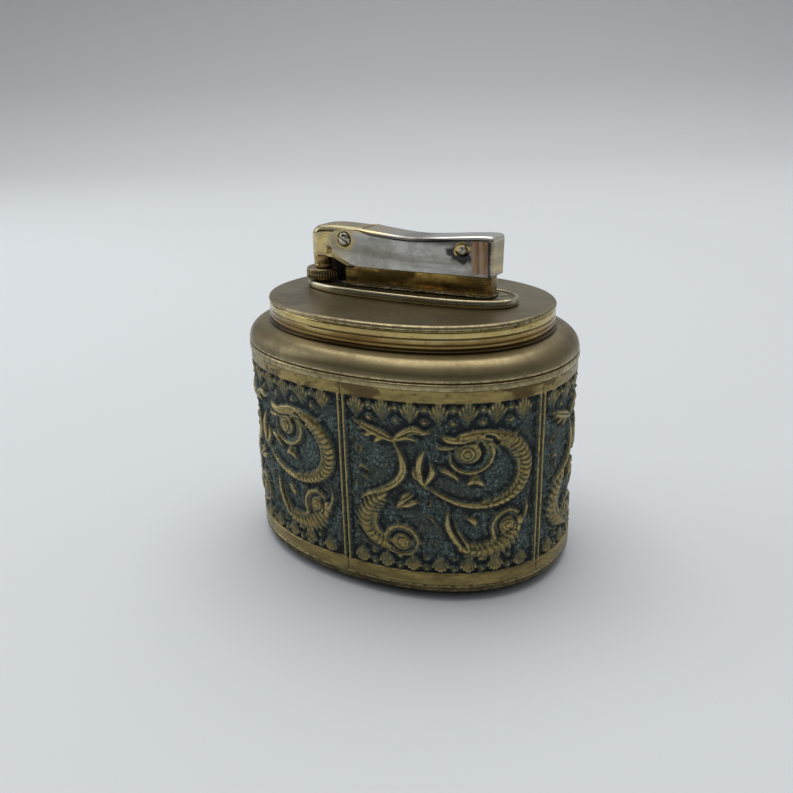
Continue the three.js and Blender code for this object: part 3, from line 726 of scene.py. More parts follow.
# name: noise, bump, colours, least and most roughness, metallic
GRITTY = {
    "rubber": ((3.0, 5, 0.6), (0.01, 0.5), ((0.3, (0.010,) * 3), (0.7, (0.028,) * 3)), (0.5, 0.7), 0.0),
    "flint": ((2.5, 6, 0.75), (0.05, 0.7), ((0.3, (0.05, 0.05, 0.052)), (0.7, (0.17, 0.165, 0.16))),
              (0.55, 0.8), 0.5),
    "crust": ((2.2, 5, 0.7), (0.08, 0.8),
              ((0.32, (0.07, 0.05, 0.02)), (0.5, (0.30, 0.24, 0.12)), (0.68, (0.62, 0.58, 0.44))),
              (0.6, 0.9), 0.2),
}
LOOKS.update({name: gritty_look(name, *values) for name, values in GRITTY.items()})


def read(items, key, size, kind):
    """One field of a mesh's items as an array."""
    values = np.empty(len(items) * size, kind)
    items.foreach_get(key, values)
    return values.reshape(-1, size)


def mark_bends(mesh, scale_mm=0.25):
    """Stores how each vertex bends: above a half on ridges and rims, below it in grooves."""
    place = read(mesh.vertices, "co", 3, np.float32) / MM
    normal = read(mesh.vertices, "normal", 3, np.float32)
    start, end = read(mesh.edges, "vertices", 2, np.int32).T
    step = place[end] - place[start]
    length = np.linalg.norm(step, axis=1) + 1e-9
    turn = np.einsum("ij,ij->i", normal[end] - normal[start], step) / length ** 2
    total, weight = np.zeros(len(place)), np.zeros(len(place))
    for side in (start, end):
        np.maximum.at(total, side, np.abs(turn))
        np.add.at(weight, side, turn)
    bend = np.sign(weight) * total * scale_mm
    mesh.attributes.new("bend", "FLOAT", "POINT").data.foreach_set(
        "value", np.clip(0.5 + 0.5 * bend, 0, 1).astype(np.float32))
    return mesh


# ---------------------------------------------------------------- case

def case_piece(name, profile, look, replaces=(), closed=True, bends=False, sharp=32):
    """A ring of the case, swept round its oval."""
    mesh = oval_mesh(profile, case_width, CASE_ROUNDNESS, closed)
    piece(name, mark_bends(mesh) if bends else mesh, "case", look, replaces, sharp)


CORE = 8.0
SLEEVE_WALL = 0.7


def make_case():
    a = CASE_LENGTH
    foot_length, foot_top = mm_box("foot_pad")[1][0], BASE_LOW[2]
    foot = rounded_outline([(CORE, 0, 0), (foot_length, 0, 0.25), (foot_length, foot_top, 0),
                            (CORE, foot_top, 0)], closed=False)
    case_piece("foot_felt", foot, "felt", ["foot_pad"], closed=False)

    low, high = BASE_LOW[2], BASE_HIGH[2]
    base = rounded_outline([(a - 3.5, low, 0), (a - 1.5, low, 0.3), (a - 0.45, low + 0.55, 0.5),
                            (a - 0.02, low + 1.35, 0.6), (a - 0.1, high - 0.2, 0.35),
                            (a - 0.62, high - 0.02, 0.1), (a - 0.95, high - 0.05, 0),
                            (a - 1.05, high - 0.25, 0), (a - 3.5, high - 0.3, 0)])
    case_piece("base_rim", base, "base_brass", bends=True)
    floor = rounded_outline([(CORE, low + 0.02, 0), (a - 3.4, low + 0.02, 0), (a - 3.4, high - 0.32, 0.1),
                             (CORE, high - 0.32, 0)], closed=False)
    case_piece("base_floor", floor, "plain_brass", ["base_plate"], closed=False)

    shell_low, shell_high = mm_box("body_shell")
    outer, wall = shell_high[0] - 0.45, 0.85
    liner = rounded_outline([(outer - wall, shell_low[2], 0.1), (outer, shell_low[2], 0.1),
                             (outer, shell_high[2], 0.1), (outer - wall, shell_high[2], 0.1)])
    case_piece("body_liner", liner, "plain_brass", ["body_shell"])

    lip, top, neck = SHOULDER_LOW[2], SHOULDER_HIGH[2], NECK_HIGH[0]
    inner = neck - 1.65
    dome = catmull(beside(a, lip, (0.02, 2.35), (-0.25, 3.3), (-0.95, 4.35), (-2.2, 5.3))
                   + [(a - 3.6, top - 0.22), (neck + 0.5, top)], 5)
    shoulder = [(inner, lip), (inner + 0.1, lip), (a - 0.1, lip)]
    shoulder += beside(a, lip, (0.08, 0.04), (0.17, 0.16), (0.2, 0.32), (0.2, 0.9), (0.17, 1.12),
                       (0.06, 1.27), (-0.14, 1.36), (-0.24, 1.46), (-0.22, 1.58),
                       (-0.04, 1.68), (0.05, 1.82), (0.06, 2.0))
    shoulder += [tuple(p) for p in dome] + [(neck + 0.2, top + 0.01), (inner, top + 0.01)]
    case_piece("shoulder", shoulder, "shoulder_brass", ["shoulder_ring"], bends=True, sharp=60)

    low, high = NECK_LOW[2], NECK_HIGH[2]
    out = neck - 0.33
    collar = beside(neck, low, (-1.5, 0), (-0.05, 0), (0.02, 0.05), (0.05, 0.2), (0, 0.36), (-0.14, 0.45),
                    (-0.46, 0.5), (-0.5, 0.58), (-0.46, 0.68)) + beside(out, low, (-0.06, 0.76), (0, 0.9))
    for centre, depth, half in ((1.7, 0.07, 0.2), (2.85, 0.09, 0.14)):
        collar += [(out, low + centre - half - 0.12), (out - 0.02, low + centre - half),
                   (out - depth, low + centre - 0.05), (out - depth, low + centre + 0.05),
                   (out - 0.02, low + centre + half), (out, low + centre + half + 0.12)]
    collar += beside(out, high, (0, -0.5), (-0.03, -0.2), (-0.14, -0.04), (-0.3, 0)) + [(neck - 1.5, high)]
    case_piece("neck", collar, "bright_brass", ["neck_ring"], bends=True, sharp=60)

    make_top_plate()
    a, low, high = SLEEVE_HIGH[0], SLEEVE_LOW[2], SLEEVE_HIGH[2]
    liner = rounded_outline([(a - SLEEVE_WALL, low, 0.1), (a, low, 0.1), (a, high, 0.1),
                             (a - SLEEVE_WALL, high, 0.1)])
    piece("sleeve", oval_mesh(liner, sleeve_width, INSERT_ROUNDNESS), "case", "plain_brass",
          ["insert_sleeve"])


def make_top_plate():
    """The flat top with its rolled rim and the oval hole for the insert."""
    a, low, high = PLATE_HIGH[0], PLATE_LOW[2], PLATE_HIGH[2]
    outer = beside(a, low, (-0.45, 0), (-0.12, 0.02), (-0.02, 0.12), (0, 0.3), (-0.04, 0.5), (-0.16, 0.72),
                   (-0.36, 0.88)) + beside(a, high, (-0.66, -0.04), (-0.95, 0), (-1.2, 0))
    well = SLEEVE_HIGH[0] - SLEEVE_WALL
    well_width = sleeve_width(well)
    inner = [(0.5, high), (0.22, high), (0.1, high - 0.03), (0.02, high - 0.12), (0, high - 0.25), (0, low)]
    rings = [level(oval_ring(length, case_width(length), CASE_ROUNDNESS), z) for length, z in outer]
    rings += [level(oval_ring(well + grow, well_width + grow, INSERT_ROUNDNESS), z) for grow, z in inner]
    mesh = mesh_of(rings, band_faces(len(rings), SMOOTH_STEPS, closed=True))
    piece("top_rim", mark_bends(mesh), "case", "aged_brass", ["top_plate"], sharp=50)


# ---------------------------------------------------------------- embossed band

PANELS = 5
SEAM_SHIFT = 0.1
GROUND = -0.84
BORDER_LOW, BORDER_HIGH = 2.7, 40.3


def distances(path):
    """How far along a path each of its points lies."""
    return np.concatenate([[0], np.cumsum(np.linalg.norm(np.diff(path[:, :2], axis=0), axis=1))])


def walk(path, places):
    """The nearest point, the direction and the direction across, at each place along a path."""
    for k in np.searchsorted(distances(path), places):
        k = min(max(int(k), 1), len(path) - 2)
        ahead = path[k + 1, :2] - path[k - 1, :2]
        ahead = ahead / (np.linalg.norm(ahead) + 1e-9)
        yield k, ahead, np.array([-ahead[1], ahead[0]])


class Relief:
    """A height field of one panel: u runs along the band and v up it, both in millimetres."""

    def __init__(self, width, height, columns, rows):
        self.u, self.v = np.linspace(0, width, columns), np.linspace(0, height, rows)
        self.raised = np.zeros((rows, columns))
        self.lines = np.zeros((rows, columns))

    def window(self, u, v, radius):
        i0, i1 = np.searchsorted(self.u, (u - radius, u + radius))
        j0, j1 = np.searchsorted(self.v, (v - radius, v + radius))
        return slice(j0, j1), slice(i0, i1)

    def mark(self, heights, u, v, radius, height, power):
        """Raises a round spot, highest in its middle, where nothing stands higher."""
        rows, columns = self.window(u, v, radius)
        away = ((self.u[columns][None, :] - u) ** 2 + (self.v[rows][:, None] - v) ** 2) / radius ** 2
        heights[rows, columns] = np.maximum(heights[rows, columns], height * np.clip(1 - away, 0, 1) ** power)

    def dome(self, u, v, radius, height, power=0.5):
        self.mark(self.raised, u, v, radius, height, power)

    def groove(self, u, v, radius, depth):
        self.mark(self.lines, u, v, radius, depth, 0.7)

    def stroke(self, points, radii):
        """A tapering ridge along a curve. Thin stretches stand lower."""
        path = catmull([(*p, r) for p, r in zip(points, radii)], 14)
        for u, v, r in path:
            self.dome(u, v, max(r, 0.12), min(1.0, 0.5 + 0.55 * max(r, 0.0)))
        return path

    def cut_line(self, points, radius, depth):
        for u, v in catmull(points, 12):
            self.groove(u, v, radius, depth)

    def ring(self, u, v, radius, line, height=0.9):
        for angle in round_turn(40):
            self.dome(u + radius * math.cos(angle), v + radius * math.sin(angle), line, height)

    def eye(self, u, v, radius):
        self.dome(u, v, radius * 1.35, 1.0, 0.35)
        for angle in round_turn(48):
            self.groove(u + radius * 0.95 * math.cos(angle), v + radius * 0.95 * math.sin(angle), 0.17, 0.32)
            self.groove(u + radius * 0.5 * math.cos(angle), v + radius * 0.5 * math.sin(angle), 0.15, 0.3)

    def shell(self, u, v, reach, spread, ribs=6):
        """A fan of ribs. reach is its height, negative for one that opens downwards."""
        self.dome(u, v + reach * 0.56, abs(reach) * 0.52, 0.45, 0.4)
        for k in range(ribs):
            lean = (k / (ribs - 1) - 0.5) * 2
            tip = (u + lean * spread, v + reach * (1 - 0.3 * lean * lean))
            for t in np.linspace(0, 1, 14):
                bow = lean * 0.35 * math.sin(math.pi * t)
                self.dome(u + (tip[0] - u) * t + bow, v + (tip[1] - v) * t, 0.14 + 0.2 * t, 0.7 + 0.28 * t)
        self.dome(u, v, 0.4, 0.8)

    def scales(self, path, pitch):
        """Curved cuts across a body, like overlapping scales."""
        whole = distances(path)[-1]
        for k, ahead, across in walk(path, np.arange(pitch, whole - pitch * 0.5, pitch)):
            reach = path[k, 2] * 0.86
            for t in np.linspace(-1, 1, 13):
                at = path[k, :2] + across * reach * t + ahead * (0.45 * (1 - t * t))
                self.groove(at[0], at[1], 0.19, 0.3)

    def frill(self, path, side, radius, pitch, out, start, end):
        """A scalloped fin along one side of a body, between two shares of its length."""
        whole = distances(path)[-1]
        for k, ahead, across in walk(path, np.arange(start * whole, end * whole, pitch)):
            across = across * side
            at = path[k, :2] + across * (path[k, 2] + out)
            for t in np.linspace(-0.5, 1, 5):
                spot = at + (across * 0.6 - ahead * 0.35) * radius * t * 1.6
                self.dome(*spot, radius * (0.85 - 0.3 * t), 0.8)


def left_fish(field):
    """A long-tailed sea creature that winds down the left half of the panel."""
    field.stroke([(11.5, 32), (9.5, 33), (7.3, 33.6), (5, 34.6), (2.6, 35.4)], [0.5, 1.1, 1.1, 0.75, 0.3])
    field.stroke([(9.6, 32.9), (8.2, 31.9), (7.2, 30.9)], [0.8, 0.75, 0.2])
    field.stroke([(7.4, 33.4), (5.9, 32.6), (4.4, 32.4)], [0.8, 0.6, 0.2])
    field.stroke([(5.4, 34.4), (4.2, 33.7), (2.9, 33.7)], [0.55, 0.45, 0.15])
    field.stroke([(11.5, 32), (13, 33.2), (15.6, 34.6), (18, 34.2), (20.4, 35.1)],
                 [0.5, 0.9, 1.05, 0.65, 0.2])
    field.stroke([(12.4, 32.2), (14.6, 33), (16.9, 32.1)], [0.5, 0.8, 0.2])
    field.cut_line([(11.0, 32.4), (8.6, 33.4), (6.0, 34.3), (4.2, 34.9)], 0.22, 0.4)
    field.cut_line([(12.6, 32.9), (15.2, 34.2), (17.2, 34.1)], 0.22, 0.4)
    field.stroke([(11.5, 32), (13, 29), (13.4, 25.5), (11.6, 22.6), (8.4, 20.6), (5.6, 19.4), (3.6, 17.8)],
                 [0.4, 0.7, 1.0, 0.95, 0.75, 0.6, 0.25])
    field.cut_line([(12.1, 31), (13.2, 28.4), (13.6, 25.6), (11.8, 23.0), (8.4, 20.9)], 0.15, 0.25)
    body = field.stroke([(9.4, 20.0), (6.8, 17.6), (5.2, 14.8), (5.2, 11.9), (6.8, 9.6), (9.6, 8.3)],
                        [0.7, 1.4, 1.75, 1.85, 1.75, 1.5])
    field.frill(body, 1, 0.72, 1.15, -0.1, 0.05, 0.95)
    field.frill(body, -1, 0.62, 1.15, -0.1, 0.0, 0.62)
    field.scales(body, 1.3)
    field.dome(12.9, 9.5, 3.3, 0.78, 0.4)
    field.cut_line([(10.6, 10.3), (11.6, 11.5), (13.4, 11.6), (15.0, 10.6)], 0.4, 0.7)
    field.cut_line([(10.2, 8.9), (11.8, 7.6), (13.8, 7.4), (15.1, 8.3)], 0.3, 0.5)
    field.eye(13.3, 9.4, 1.3)
    field.stroke([(9.2, 10.0), (10.2, 11.8), (12.0, 13.0), (14.4, 12.8), (16.0, 11.2), (16.3, 9.0),
                  (15.0, 7.0), (12.6, 6.5), (10.0, 7.2)], [0.5, 0.6, 0.62, 0.6, 0.55, 0.5, 0.48, 0.5, 0.5])
    field.stroke([(16.0, 10.4), (17.2, 9.4), (17.9, 7.7)], [0.35, 0.4, 0.15])
    field.stroke([(12.8, 12.8), (12.0, 14.2), (10.8, 14.6)], [0.4, 0.4, 0.15])
    field.stroke([(1.9, 13.0), (3.0, 9.8), (5.4, 7.7), (8.4, 6.7)], [0.2, 0.35, 0.35, 0.25])


def upper_fish(field):
    """A creature curled into a ring in the upper right."""
    body = field.stroke([(25.2, 33.4), (28.5, 33.8), (32, 33.5), (35, 32.6), (37.4, 30.4), (39.0, 27.4),
                         (38.9, 23.8), (37.1, 20.9), (33.6, 18.9), (29, 18.3), (24.6, 19.1), (21, 20.8),
                         (18.2, 22.6)],
                        [1.0, 1.3, 1.35, 1.4, 1.6, 1.7, 1.6, 1.35, 1.05, 0.85, 0.75, 0.6, 0.4])
    quarter = len(body) // 4
    field.scales(body[quarter:quarter * 3], 1.2)
    field.frill(body[quarter - 6:quarter * 3], -1, 0.7, 1.15, -0.15, 0.0, 1.0)
    field.cut_line([(36.0, 20.6), (33.2, 19.4), (29.0, 18.8), (24.8, 19.6), (21.4, 21.2)], 0.15, 0.25)
    field.dome(27.6, 30.6, 4.1, 0.78, 0.35)
    field.cut_line([(29.0, 31.8), (29.7, 30.2), (29.0, 28.3), (27.2, 27.3), (25.2, 27.5)], 0.55, 0.85)
    field.cut_line([(30.2, 33.6), (31.5, 33.2), (32.3, 32.0)], 0.42, 0.7)
    field.cut_line([(24.4, 31.7), (26.2, 32.2), (28.2, 32.3)], 0.22, 0.4)
    field.eye(26.4, 29.9, 1.65)
    field.stroke([(31.0, 32.0), (31.7, 29.8), (30.6, 27.3), (28.0, 25.9), (25.2, 26.1), (23.2, 27.9),
                  (22.9, 30.2)],
                 [0.6, 0.6, 0.58, 0.6, 0.6, 0.55, 0.4])
    field.stroke([(21.0, 33.9), (22.6, 32.9), (24.6, 32.6), (26.6, 32.7)], [0.35, 0.9, 1.0, 0.8])
    field.stroke([(19.9, 31.2), (21.6, 31.1), (23.4, 31.2)], [0.3, 0.65, 0.5])
    field.cut_line([(21.4, 32.1), (23.2, 31.9), (25.0, 31.9)], 0.22, 0.55)
    field.stroke([(34.2, 33.2), (36.4, 33.3), (38.4, 34.8)], [0.5, 0.42, 0.15])
    field.stroke([(31.2, 32.2), (32.4, 31.0), (33.2, 29.6)], [0.35, 0.4, 0.15])
    field.stroke([(18.2, 22.2), (16.9, 24.6), (16.9, 28), (18.3, 31.2)], [0.5, 0.95, 0.9, 0.25])
    field.stroke([(17.9, 23.0), (19.4, 25.6), (19.0, 28.2)], [0.5, 0.85, 0.25])
    field.stroke([(17.0, 23.6), (15.8, 24.8), (15.4, 26.8)], [0.4, 0.6, 0.2])
    field.cut_line([(17.8, 23.8), (17.4, 26.8), (18.0, 29.6)], 0.2, 0.45)
    field.stroke([(20.6, 26.7), (22.2, 26.0), (23.8, 25.0), (24.9, 23.6)], [0.3, 0.8, 0.75, 0.25])
    field.stroke([(26.2, 23.0), (28.0, 24.0), (30.2, 22.4)], [0.3, 0.95, 0.3])
    field.stroke([(27.0, 23.6), (27.8, 24.9), (29.4, 25.0)], [0.4, 0.6, 0.2])
    field.cut_line([(21.8, 25.8), (23.4, 25.0), (24.2, 24.2)], 0.18, 0.35)


def lower_fish(field):
    """A creature in the lower right with its head turned up."""
    field.stroke([(22.6, 18.4), (22.5, 14), (23.8, 11), (25.8, 8.2)], [0.25, 0.75, 0.85, 0.7])
    field.stroke([(23.6, 17.0), (24.2, 13.8), (25.8, 10.6), (27.4, 8.4)], [0.15, 0.4, 0.5, 0.6])
    field.cut_line([(23.2, 16.4), (23.4, 13.6), (24.8, 10.8), (26.4, 8.6)], 0.2, 0.5)
    body = field.stroke([(25.4, 8.6), (28.4, 7.7), (31.4, 7.9), (34.2, 9.2), (36.6, 11.4), (38.0, 13.8)],
                        [1.0, 1.4, 1.65, 1.9, 1.7, 1.1])
    field.frill(body, 1, 0.72, 1.15, -0.15, 0.05, 0.55)
    field.frill(body, -1, 0.6, 1.15, -0.15, 0.1, 0.8)
    field.scales(body, 1.25)
    field.dome(35.0, 13.2, 3.1, 0.78, 0.4)
    field.cut_line([(33.4, 11.6), (33.0, 13.4), (33.8, 15.0), (35.4, 15.6)], 0.3, 0.55)
    field.cut_line([(36.9, 11.9), (37.2, 13.4), (36.4, 15.0)], 0.3, 0.55)
    field.eye(35.1, 13.3, 1.45)
    field.stroke([(32.3, 10.6), (31.7, 13.2), (32.8, 15.6), (35.4, 16.7), (37.6, 15.6)],
                 [0.6, 0.6, 0.6, 0.6, 0.5])
    field.stroke([(38.0, 12.6), (39.4, 15.4), (39.4, 17.8), (38.6, 20.0)], [0.5, 0.6, 0.45, 0.2])
    field.stroke([(33.0, 15.2), (32.0, 16.4), (30.9, 16.4)], [0.3, 0.35, 0.12])


def fillers(field):
    """Beads, crescents and leaves in the spaces between."""
    field.ring(3.9, 29.2, 0.75, 0.28)
    field.dome(3.9, 29.2, 0.35, 0.7)
    field.stroke([(3.2, 24.6), (4.7, 25.6), (6.4, 24.3)], [0.25, 0.6, 0.25])
    field.stroke([(4.2, 23.4), (5.4, 23.2), (6.1, 22.0)], [0.2, 0.5, 0.2])
    field.dome(10.0, 26.6, 0.7, 0.8)
    field.dome(3.1, 21.2, 0.62, 0.8)
    field.dome(8.6, 28.6, 0.45, 0.6)
    field.stroke([(16.5, 16.4), (19, 15.6), (21.0, 12.5)], [0.2, 0.5, 0.2])
    field.stroke([(11.8, 16.8), (13.2, 18.5), (15.4, 20.5)], [0.25, 0.95, 0.4])
    field.stroke([(12.9, 17.6), (14.6, 18.4), (16.6, 19.1)], [0.4, 1.0, 0.3])
    field.stroke([(12.6, 19.4), (14.0, 20.4), (15.2, 21.6)], [0.3, 0.6, 0.15])
    field.cut_line([(12.6, 17.6), (14.4, 19.2), (15.6, 19.8)], 0.18, 0.4)
    field.ring(18.6, 18.9, 0.62, 0.26)
    field.stroke([(26.4, 15.6), (27.8, 14.9), (28.2, 13.4)], [0.45, 0.85, 0.35])
    field.dome(25.4, 14.6, 0.3, 0.7)
    field.stroke([(18.6, 10.2), (20.0, 9.6), (20.4, 8.2)], [0.15, 0.5, 0.15])
    field.dome(24.4, 16.8, 0.28, 0.6)
    for u, v, r in ((8.1, 25.0, 0.26), (20.9, 28.4, 0.3), (31.5, 27.6, 0.32), (33.2, 24.2, 0.28),
                    (29.9, 12.2, 0.3), (20.2, 23.2, 0.24), (9.6, 30.2, 0.24), (15.2, 30.1, 0.26),
                    (2.4, 16.2, 0.26), (40.2, 33.2, 0.3)):
        field.dome(u, v, r, 0.55)


def borders(field):
    """Rows of small shells and beads along the top and the bottom."""
    for k in range(7):
        field.shell(3.5 + 5.75 * k, 36.3, 3.9, 1.75)
        field.shell(3.8 + 5.75 * k, 6.5, -3.4, 1.6)
    for k in range(6):
        for u, v, r in ((6.4, 39.1, 0.78), (6.4, 36.4, 0.72), (6.65, 3.7, 0.72), (6.65, 6.1, 0.6)):
            field.dome(u + 5.75 * k, v, r * 1.35, 0.42)
            field.ring(u + 5.75 * k, v, r * 1.1, 0.16, 0.62)
            field.dome(u + 5.75 * k, v, r * 0.8, 0.95)


def blurred(field, times):
    for _ in range(times):
        padded = np.pad(field, 1, mode="edge")
        field = (padded[:-2, 1:-1] + 2 * padded[1:-1, 1:-1] + padded[2:, 1:-1]) / 4
        padded = np.pad(field, 1, mode="edge")
        field = (padded[1:-1, :-2] + 2 * padded[1:-1, 1:-1] + padded[1:-1, 2:]) / 4
    return field


def eased(value, low, high):
    t = np.clip((value - low) / (high - low), 0, 1)
    return t * t * (3 - 2 * t)


def panel_heights(width, height, columns=268, rows=270):
    """Heights of one panel over the outer face of the band, in millimetres."""
    field = Relief(width, height, columns, rows)
    for draw in (left_fish, upper_fish, lower_fish, fillers, borders):
        draw(field)
    random = np.random.default_rng(SEED)
    shape = field.raised.shape
    fine = blurred(random.normal(size=shape), 1)
    coarse = blurred(random.normal(size=shape), 6)
    middle = blurred(random.normal(size=shape), 3)
    grain = 0.03 * fine / fine.std() + 0.045 * middle / middle.std() + 0.04 * coarse / coarse.std()
    field.raised = blurred(field.raised, 1)
    body = field.raised
    pillow = blurred(body, 30)
    h = GROUND + np.clip(grain, -0.1, 0.2) * (1 - 0.6 * eased(body, 0.2, 0.6)) + 0.98 * body + 0.12 * pillow
    h -= field.lines * eased(body, 0.3, 0.7) * 0.85
    h = np.maximum(h, GROUND - 0.1)
    u, v = np.meshgrid(field.u, field.v)
    frame_part = np.maximum(1 - eased(v, BORDER_LOW - 0.15, BORDER_LOW + 0.12),
                            eased(v, BORDER_HIGH - 0.12, BORDER_HIGH + 0.15))
    for edge in (u, width - u):
        rod_part = np.sqrt(np.clip(1 - ((edge - 0.6) / 0.42) ** 2, 0, 1))
        h = np.where(rod_part > 0, np.maximum(h, GROUND + (0.04 - GROUND) * rod_part), h)
        h = np.where(edge < 0.24, GROUND * 0.8, h)
    rim = -0.03 + 0.02 * (coarse / coarse.std())
    rim = rim - 0.22 * np.exp(-(np.minimum(u, width - u) / 0.16) ** 2)
    h = h * (1 - frame_part) + rim * frame_part
    return field, blurred(h, 1), frame_part


def make_band():
    """Five embossed panels bent round the oval, each a closed sheet."""
    low, high = BAND_LOW[2], BAND_HIGH[2]
    line = oval_point(np.linspace(-math.pi / 2, 1.5 * math.pi, 7201), CASE_LENGTH, CASE_WIDTH, CASE_ROUNDNESS)
    along = distances(line)
    whole = along[-1]

    def at(distance):
        return np.stack([np.interp(distance % whole, along, line[:, k]) for k in (0, 1)], 1)

    width = whole / PANELS
    field, heights, border = panel_heights(width, high - low)
    rows, columns = heights.shape
    ridge = np.clip(0.5 + (heights - blurred(heights, 8)) / 0.6, 0, 1)
    hollow = np.clip(0.5 + (heights - blurred(heights, 60)) / 0.9, 0, 1)
    risen = np.clip((heights - GROUND) / (0.14 - GROUND), 0, 1)
    back, step = -0.98, 0.3
    for number in range(PANELS):
        where = (SEAM_SHIFT + number * width + field.u) % whole
        centre = at(where)
        way = at(where + step) - at(where - step)
        way /= np.linalg.norm(way, axis=1, keepdims=True)
        normal = np.stack([way[:, 1], -way[:, 0]], 1)
        flat = centre[None] + normal[None] * heights[..., None]
        front = np.concatenate([flat, np.broadcast_to((low + field.v)[:, None, None], (rows, columns, 1))], 2)
        behind = centre + normal * back
        points = np.concatenate([front.reshape(-1, 3), level(behind, low), level(behind, high)])
        j, i = np.meshgrid(np.arange(rows - 1), np.arange(columns - 1), indexing="ij")
        first = (j * columns + i).ravel()
        faces = np.stack([first, first + 1, first + columns + 1, first + columns], 1).tolist()
        total = rows * columns
        top_row = (rows - 1) * columns
        for k in range(columns - 1):
            faces.append((total + k, total + k + 1, k + 1, k))
            faces.append((top_row + k, top_row + k + 1, total + columns + k + 1, total + columns + k))
            faces.append((total + k + 1, total + k, total + columns + k, total + columns + k + 1))
        for side in (0, columns - 1):
            column = [row * columns + side for row in range(rows)]
            faces.append(tuple(column + [total + columns + side, total + side]))
        mesh = bpy.data.meshes.new("panel")
        mesh.from_pydata((points * MM).tolist(), [], faces)
        for name, values in (("relief", risen), ("ridge", ridge), ("hollow", hollow), ("border", border)):
            data = np.concatenate([values.ravel(), np.zeros(columns), np.ones(columns) * 0.9])
            mesh.attributes.new(name, "FLOAT", "POINT").data.foreach_set("value", data.astype(np.float32))
        piece(f"relief_panel_{number + 1}", mesh, "case", "relief_brass",
              ["relief_band"] if number == 0 else (), sharp=80)

# ---------------------------------------------------------------- insert: flange, tank and housing

def make_flange_and_tank():
    a, low, high = FLANGE_HIGH[0], FLANGE_LOW[2], FLANGE_HIGH[2]
    floor = high - 0.32
    profile = beside(a, low, (-2.4, 0), (-0.5, 0), (-0.2, 0.05), (-0.08, 0.2), (-0.02, 0.5), (-0.01, 0.8),
                     (-0.05, 1.1), (-0.16, 1.36))
    profile += beside(a, high, (-0.34, -0.08), (-0.58, 0), (-0.78, -0.04), (-0.92, -0.14))
    profile += beside(a, floor, (-0.98, -0.06), (-2.4, -0.06))
    mesh = mark_bends(oval_mesh(profile, insert_width, INSERT_ROUNDNESS))
    piece("flange", mesh, "insert", "nickel", ["insert_flange"], sharp=60)
    profile = beside(a, low, (-6, 0.1), (-1.0, 0.1))
    profile += beside(a, floor, (-1.0, -0.1), (-1.06, -0.02), (-1.2, 0), (-6, 0))
    hole = turned_mesh([(1.75, low - 1), (1.75, high + 1)], (BURNER_X, 0, 0), closed=False, steps=CUT_STEPS)
    floor_mesh = oval_mesh(profile, insert_width, INSERT_ROUNDNESS, closed=False)
    piece("flange_floor", carve(floor_mesh, [hole]), "insert", "worn_gilt")

    a, low, high = TANK_HIGH[0], TANK_LOW[2], TANK_HIGH[2]
    profile = rounded_outline([(a - 6, high, 0), (a, high, 0.5), (a, low, 0.3), (a - 0.8, low, 0.2),
                               (a - 0.8, high - 0.8, 0.4), (a - 6, high - 0.8, 0)], closed=False)
    piece("tank", oval_mesh(profile, insert_width, INSERT_ROUNDNESS, closed=False), "insert",
          "plain_brass", ["fuel_tank"])


HOUSING_HALF, HOUSING_CORNER = 3.75, 2.2


def housing_plan(half_width, left, right, steps=14):
    """The plan of the housing's outer face, from its open left end round the right end and back."""
    corner = HOUSING_CORNER + half_width - HOUSING_HALF
    points = [(x, -half_width) for x in np.linspace(left, right - corner, 30)]
    quarter = np.linspace(0, math.pi / 2, steps)
    for side, angles in ((-1, np.linspace(-math.pi / 2, 0.0, steps)[1:]), (1, quarter[:-1])):
        for angle in angles:
            points.append((right - corner + corner * math.cos(angle),
                           side * (half_width - corner) + corner * math.sin(angle)))
    return points + [(x, half_width) for x in np.linspace(right - corner, left, 30)]


def make_housing():
    half_width, wall = HOUSING_HALF, 0.5
    left, right = HOUSING_LOW[0], HOUSING_HIGH[0]
    low, high = HOUSING_LOW[2], HOUSING_HIGH[2]
    outer = housing_plan(half_width, left, right)
    inner = housing_plan(half_width - wall, left, right - wall)[::-1]
    points, faces = rounded_block(outer + inner, 0.12, low + 0.02, high, arc=3, support=0.06)
    step = prism([(left - 2, 63.85), (left + 1.8, 63.85), (left + 2.8, 64.25), (left + 5.8, high + 1),
                  (left - 2, high + 1)], -CUT_REACH, CUT_REACH)
    shell = carve(mesh_of(narrowed(points[:, [0, 2, 1]]), faces), [mesh_of(*step)])
    piece("housing_shell", shell, "insert", "gold_housing", ["housing"], weighted=True)
    plan = housing_plan(half_width + 0.16, left, right + 0.16)
    points, faces = rounded_block(plan, 0.16, low - 0.1, low + 0.42, arc=4, support=0.05)
    foot = mesh_of(narrowed(points[:, [0, 2, 1]]), faces)
    piece("housing_foot", foot, "insert", "gold_housing")
    make_crust(left, right, low)


def make_crust(left, right, low):
    """A thin lumpy ring of old grime where the housing meets the flange."""
    random = np.random.default_rng(SEED + 1)
    plan = housing_plan(HOUSING_HALF + 0.22, left + 1, right + 0.22, 30)
    path = catmull(narrowed(level(plan, low - 0.02)), 3)
    count, sides = len(path), 8
    swell = blurred(random.normal(size=(count, sides)), 1)
    lumps = 0.09 + 0.1 * swell / swell.std() * 0.5 + 0.05 * random.normal(size=(count, 1))
    lumps = np.clip(lumps, 0.03, 0.24)
    rings = []
    for k, (x, y, z) in enumerate(path):
        ahead = path[min(k + 1, count - 1)] - path[max(k - 1, 0)]
        ahead /= np.linalg.norm(ahead)
        out = np.array([ahead[1], -ahead[0], 0])
        angle = np.linspace(0, 2 * math.pi, sides, endpoint=False)
        radius = lumps[k] * (0.3 if k in (0, count - 1) else 1)
        rings.append(np.array([x, y, z]) + out * (radius * np.cos(angle))[:, None] * 1.5
                     + np.array([0, 0, 1.0]) * (radius * np.sin(angle))[:, None])
    piece("housing_crust", mesh_of(rings, tube_faces(count, sides)), "insert", "crust")


